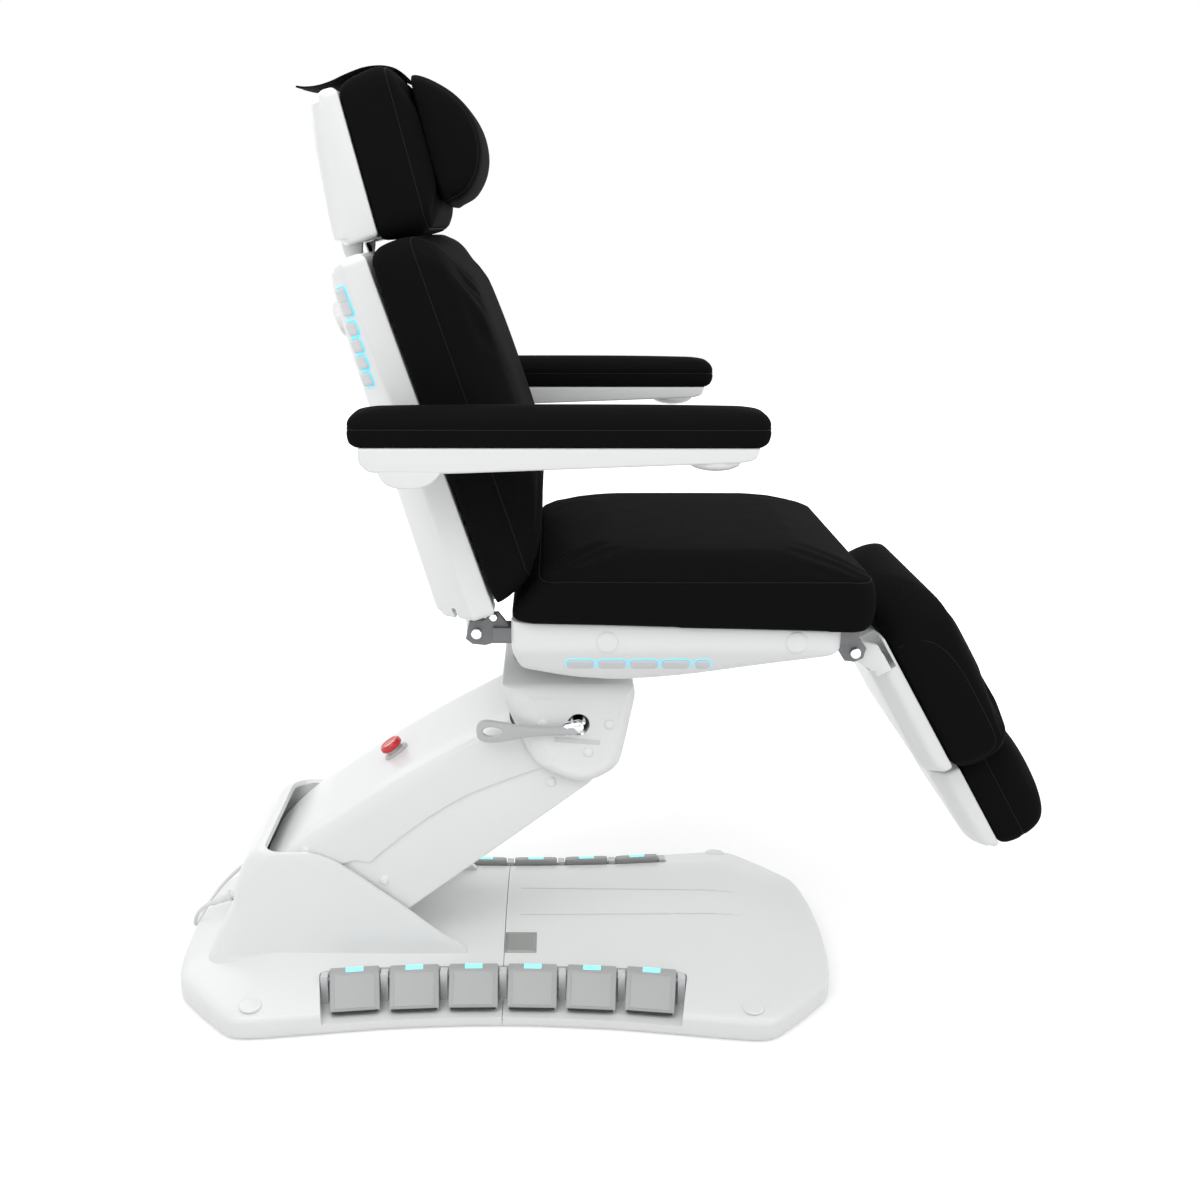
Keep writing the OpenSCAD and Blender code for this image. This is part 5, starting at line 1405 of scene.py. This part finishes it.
class CHAIR_OT_head(ChairStep):
    """The head rest's shell, its rods, pad, pillow and strap"""

    bl_idname = "chair.head"
    bl_label = "Head rest"

    # Up the head rest: height, rear face, its chamfer's edge, and half the rear face's width
    sections = [(5, -24, -14, 150), (16, -34, -22, 158), (120, -28, -14, 150),
                (200, -20, -4, 140), (215, -12, 4, 134)]

    def build(self, sizes, stage):
        self.shell()
        self.head_pad()
        self.pillow()
        self.clip()
        dressed("head_rods", "bright steel")

    def shell(self):
        shapes = [[(33.5, -181), (33.5, 181), (12, 181), (chamfer, 173), (rear, half),
                   (rear, -half), (chamfer, -173), (12, -181)]
                  for _, rear, chamfer, half in self.sections]
        rings = tower_rings(shapes, [3, 3, 10, 12, 10, 10, 12, 10],
                            [s[0] for s in self.sections], 7, 12)
        obj = ringed("head_cover", rings, "moulded white", "head", ("head_shell",),
                     28, at=HEAD)
        notch = [(-60, -20), (37, -20), (37, 48), (-60, 48)]
        carve(obj, [placed(slab_rings(notch, -77, 77, 2, 3), HEAD)], 28)

    def head_pad(self):
        rows = [(34, -213, 1, 178, 22), (44, -220, 4.5, 183, 28), (64, -225, 6.5, 185, 30),
                (90, -228.5, 7.5, 187, 32), (106, -226, 5.5, 186.5, 34), (117, -217, -3, 180, 40),
                (127, -199, -18, 160, 44), (131, -174, -40, 128, 40),
                (132, -150, -62, 100, 30)]
        rings = stood_up(pad_rings(rows, shrink=1.2), HEAD)
        held = lambda co: (local(co, HEAD)[:, 0] < 40) | \
            (np.abs(local(co, HEAD)[:, 0] - 106) < 3.2)
        obj = pad("head_pad", rings, "head_cushion", "head", held, voxel=0.005)
        line = round_rect(-225, 4.5, 185.5, 34)
        seam("head_seam", obj, stood_up(at_height(line, 106), HEAD), "head", front_of(HEAD))

    # The pillow's side, out from the rest and up it
    pillow_side = [(132, 34), (150, 25), (168, 28), (184, 40), (198, 58), (207, 80), (210, 104),
                   (208, 128), (200, 152), (186, 174), (168, 192), (150, 206), (136, 212),
                   (132, 200)]

    def pillow(self):
        """A half round whose section shrinks to the seams at both ends."""
        side = smooth(self.pillow_side, 3, True)
        middle = np.array([132, 118])
        rows = smooth([(-141, 0.66), (-138, 0.82), (-131, 0.92), (-118, 0.965), (-90, 0.99),
                       (0, 1.0), (90, 0.99), (118, 0.965), (131, 0.92), (138, 0.82),
                       (141, 0.66)], 3)
        rings = np.array([np.stack([middle[0] + (side[:, 0] - middle[0]) * k,
                                    np.full(len(side), y),
                                    middle[1] + (side[:, 1] - middle[1]) * k], -1)
                          for y, k in rows])
        held = lambda co: (local(co, HEAD)[:, 0] < 137) | \
            (np.abs(np.abs(co[:, 1]) - 0.128) < 0.003)
        obj = pad("neck_pillow", placed(rings, HEAD), "head_pillow", "head", held,
                  swell=0.005, voxel=0.005)
        for tag, y in (("r", -130), ("l", 130)):
            ring = middle + (side - middle) * 0.93
            path = placed(np.stack([ring[:, 0], np.full(len(ring), y), ring[:, 1]], -1), HEAD)
            seam(f"pillow_seam_{tag}", obj, path, "head", (0, 1, 0))
        self.strap()

    def strap(self):
        """A thin strip over the top of the rest that hangs free behind it, a little wavy."""
        line = even(smooth([(142, 197), (132, 201), (124, 213), (113, 224.5), (98, 232),
                            (80, 236), (60, 237), (38, 236.5), (14, 235), (-8, 236.5),
                            (-28, 241.5), (-43, 248)], 6), 60)
        way = unit(np.gradient(line, axis=0))
        out = np.stack([way[:, 1], -way[:, 0]], -1)
        along = np.linspace(0, 1, 60)[:, None]
        across = np.linspace(-104, 104, 27) * (1 - 0.68 * np.clip((along - 0.45) / 0.55, 0, 1))
        wave = 0.9 * np.sin(across / 17) * along**2
        skins = []
        for lift in (-1.1, 1.1):
            shift = (wave + lift)[..., None] * out[:, None]
            xz = line[:, None] + shift
            skins.append(np.stack([xz[..., 0], across, xz[..., 1]], -1))
        rings = np.concatenate([skins[0], skins[1][:, ::-1]], 1)
        ringed("pillow_strap", rings, "black leather", "head", at=HEAD)

    def clip(self):
        """The white loop that the rods' hinge turns in, and the rods' nuts."""
        for tag, side in SIDES:
            loop = [(-36, -14), (-12, -14), (-4, 6), (-6, 30), (-28, 32), (-38, 10)]
            ringed(f"hinge_loop_{tag}", slab_rings(loop, side * 70 - 5, side * 70 + 5, 2, 9),
                   "moulded white", "head", at=HEAD)
            nut = facing(lathe_rings([(0.2, -9), (6, -9), (7.4, -7.6), (7.4, 7), (0.2, 7)], 24),
                         (-16.9, side * 86, 21.1), (0, 1, 0))
            ringed(f"hinge_nut_{tag}", nut, "bright steel", "head", at=HEAD)


class CHAIR_OT_arm_rests(ChairStep):
    """Both arm rests: tray, boss, knob and pad"""

    bl_idname = "chair.arm_rests"
    bl_label = "Arm rests"

    def build(self, sizes, stage):
        for tag, side in SIDES:
            body = f"armrest_{tag}"
            middle = side * 342
            tray = [(-180, 981), (-182, 962), (-168, 947), (-60, 946), (340, 961), (358, 966),
                    (362, 981)]
            rings = slab_rings(tray, middle - 39.5, middle + 39.5, 4, [1, 8, 10, 20, 12, 8, 1], 6)
            ringed(f"arm_tray_{tag}", rings, "moulded white", body,
                   (f"armrest_shell_{tag}",), 30, at=WORLD)
            boss = [(-158, 952), (-148, 932), (-132, 925), (-98, 925), (-80, 933), (-64, 952)]
            ringed(f"arm_boss_{tag}", slab_rings(boss, middle - 39, middle + 33.5, 3, 9),
                   "moulded white", body, at=WORLD)
            dome = smooth([(2, 945.4), (14, 946.2), (25, 948.6), (33, 952.2), (37, 956.4),
                           (37.6, 962)], 4)
            ringed(f"arm_dome_{tag}", lathe_rings(dome) + [305, middle, 0], "moulded white", body,
                   at=WORLD)
            self.pad(tag, body, middle)

    def pad(self, tag, body, middle):
        rows = [(980.6, -187, 367, 38.5, 12), (986, -195, 375, 42, 16),
                (996, -197.6, 378.6, 43, 18), (1008, -198, 379, 43, 19),
                (1016, -196.6, 377.6, 41.4, 19),
                (1023, -191, 372, 37, 18), (1028, -182, 363, 30, 16), (1031, -164, 344, 18, 12)]
        rings = placed(pad_rings(rows, shrink=0.8)) + [0, middle * 0.001, 0]
        held = lambda co: (co[:, 2] < 0.986) | (np.abs(co[:, 2] - 1.006) < 0.0025)
        obj = pad(f"arm_pad_{tag}", rings, f"armrest_pad_{tag}", body, held, swell=0.004,
                  voxel=0.0045)
        line = round_rect(-197.5, 378.5, 43, 18)
        path = placed(at_height(line, 1006)) + [0, middle * 0.001, 0]
        seam(f"arm_seam_{tag}", obj, path, body, (0, 0, 1))


class CHAIR_OT_leg_rest(ChairStep):
    """The leg rest's shell and pads, its soft end at the seat, and the sliding foot piece"""

    bl_idname = "chair.leg_rest"
    bl_label = "Leg rest"

    def build(self, sizes, stage):
        self.leg_shell()
        self.foot_shell()
        self.leg_pad()
        self.roll()
        self.foot_pad()
        eased_copy("leg_frame", "leg_bracket", "moulded white", 0.0008)

    def leg_shell(self):
        rows = ((-9, 30, 12), (-14, 28, 7), (-130, 28, 7), (-244, 28, 7), (-261, 34, 9))
        shapes = [[(50, -213), (50, 213), (shallow, 213), (deep, 176), (deep, -176),
                   (shallow, -213)] for _, shallow, deep in rows]
        rings = tower_rings(shapes, [3, 3, 8, 12, 12, 8], [q[0] for q in rows], 5, 9)
        obj = ringed("leg_cover", rings, "moulded white", "leg", ("leg_shell",),
                     28, at=LEG)
        cuts = []
        for side in (-1, 1):
            y = sorted((side * 165, side * 234))
            cuts.append(placed(slab_rings([(-20, -60), (46, -60), (46, 30), (-20, 30)], *y, 0.3),
                               LEG))
        tongue = [(15, -300), (35, -300), (35, -200), (15, -200)]
        cuts.append(placed(slab_rings(tongue, -99, 99, 0.5, 1), LEG))
        hollow = [(12, -70), (60, -70), (60, -232), (12, -232)]
        cuts.append(placed(slab_rings(hollow, -170, 170, 1, 2), LEG))
        carve(obj, cuts, 28)

    def foot_shell(self):
        rows = ((-292, 38, 17), (-300, 36, 16), (-360, 37, 18), (-419, 39, 20), (-443, 43, 28),
                (-452, 50, 39))
        shapes = [[(62, -159), (62, 159), (shallow, 159), (deep, 125), (deep, -125),
                   (shallow, -159)] for _, shallow, deep in rows]
        rings = tower_rings(shapes, [3, 3, 8, 12, 12, 8], [q[0] for q in rows], 5, 7)
        ringed("foot_cover", rings, "moulded white", "foot", ("foot_shell",), 28,
               at=LEG)
        tongue = [(17.4, -310), (32.6, -310), (32.6, -70), (17.4, -70)]
        ringed("foot_tongue", slab_rings(tongue, -94, 94, 0.6, 1), "satin steel", "foot",
               at=LEG)

    # Down the leg: place, back and front face, half width and corner radius of the section
    pad_sections = [(-26.8, 50.5, 155, 224, 32), (-40, 50.5, 156, 224.6, 31),
                    (-90, 50.4, 156, 225, 30), (-190, 50.4, 156, 225, 30),
                    (-240, 50.4, 155.5, 225, 30), (-258, 51.5, 151, 221, 34),
                    (-269, 55, 141, 213, 38), (-275, 63, 126, 198, 30), (-277, 75, 108, 176, 16)]
    # Up the leg, from inside the pad to the crown of its soft end
    roll_sections = [(-60, 51, 155.5, 224.2, 30), (-40, 51, 155.5, 224.1, 31),
                     (-26, 50.5, 154.5, 223, 33), (-14, 50.5, 154, 218, 37), (-3, 47, 151, 205, 44),
                     (8, 45, 145, 184, 48), (18, 50, 136, 154, 42), (25, 60, 124, 118, 30),
                     (29, 74, 110, 76, 17)]

    def stack(self, sections):
        """Round-cornered sections across the leg, stacked along it."""
        rings = []
        for z, back, face, half, corner in smooth(sections, 3):
            o = round_rect(back, face, half, min(corner, (face - back) * 0.48))
            rings.append(np.stack([o[:, 0], o[:, 1], np.full(len(o), z)], -1))
        return placed(rings, LEG)

    def leg_pad(self):
        held = lambda co: (local(co, LEG)[:, 0] < 57) | (local(co, LEG)[:, 2] > -34) | \
            ((np.abs(local(co, LEG)[:, 0] - 131) < 3.2) & (np.abs(co[:, 1]) > 0.2))
        obj = pad("leg_pad", self.stack(self.pad_sections), "leg_cushion", "leg", held,
                  swell=0.006, voxel=0.0055)
        line = smooth([(52, -31), (84, -33), (108, -46), (123, -76), (130, -120), (131, -170),
                       (130, -225), (122, -252), (98, -264), (60, -265)], 5)
        for tag, side in SIDES:
            path = placed(np.stack([line[:, 0], np.full(len(line), side * 225), line[:, 1]], -1),
                          LEG)
            seam(f"leg_seam_{tag}", obj, path, "leg", (0, 1, 0), closed=False)

    def roll(self):
        """The leg pad's soft end, where it meets the seat."""
        rings = self.stack(self.roll_sections)
        obj = piece("knee_roll", rings, ring_faces(len(rings), rings.shape[1]), "black leather",
                    None)
        held = lambda co: local(co, LEG)[:, 2] < -20
        inflated(obj, held, 0.004, 0.0055)
        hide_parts("leg_gusset")
        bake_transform(obj)

    def foot_pad(self):
        rows = [(62.4, 299, 454, 157, 20), (74, 288, 463, 164, 28), (100, 281, 466, 165.4, 30),
                (132, 280, 461, 164, 34), (150, 288, 451, 155, 40), (160, 303, 434, 135, 42),
                (164.6, 322, 414, 112, 34), (166.4, 344, 392, 80, 18)]
        rings = stood_up(pad_rings(rows, shrink=1.2), LEG)
        held = lambda co: (local(co, LEG)[:, 0] < 69) | \
            (np.abs(local(co, LEG)[:, 0] - 104) < 3.2)
        obj = pad("foot_pad", rings, "foot_cushion", "foot", held, swell=0.005, voxel=0.005)
        line = round_rect(281.5, 465.5, 165, 30)
        seam("foot_seam", obj, stood_up(at_height(line, 104), LEG), "foot", front_of(LEG))


STEPS = (CHAIR_OT_stage, CHAIR_OT_lead, CHAIR_OT_base, CHAIR_OT_pedals, CHAIR_OT_lift,
         CHAIR_OT_seat, CHAIR_OT_back, CHAIR_OT_head, CHAIR_OT_arm_rests, CHAIR_OT_leg_rest)


class CHAIR_PT_steps(bpy.types.Panel):
    """The chair's steps in order"""

    bl_label = "Procedure Chair"
    bl_space_type = "VIEW_3D"
    bl_region_type = "UI"
    bl_category = "Procedure Chair"

    def draw(self, context):
        for step in STEPS:
            self.layout.operator(step.bl_idname)


CLASSES = (ChairColours, ChairSizes, ChairStage, *STEPS, CHAIR_PT_steps)


def register():
    for cls in CLASSES:
        bpy.utils.register_class(cls)
    bpy.types.Scene.chair_colours = PointerProperty(type=ChairColours)
    bpy.types.Scene.chair_sizes = PointerProperty(type=ChairSizes)
    bpy.types.Scene.chair_stage = PointerProperty(type=ChairStage)


def unregister():
    del bpy.types.Scene.chair_stage, bpy.types.Scene.chair_sizes, bpy.types.Scene.chair_colours
    for cls in reversed(CLASSES):
        bpy.utils.unregister_class(cls)


def main():
    register()
    for step in STEPS:
        getattr(bpy.ops.chair, step.bl_idname.split(".")[1])()


if __name__ == "__main__":
    main()
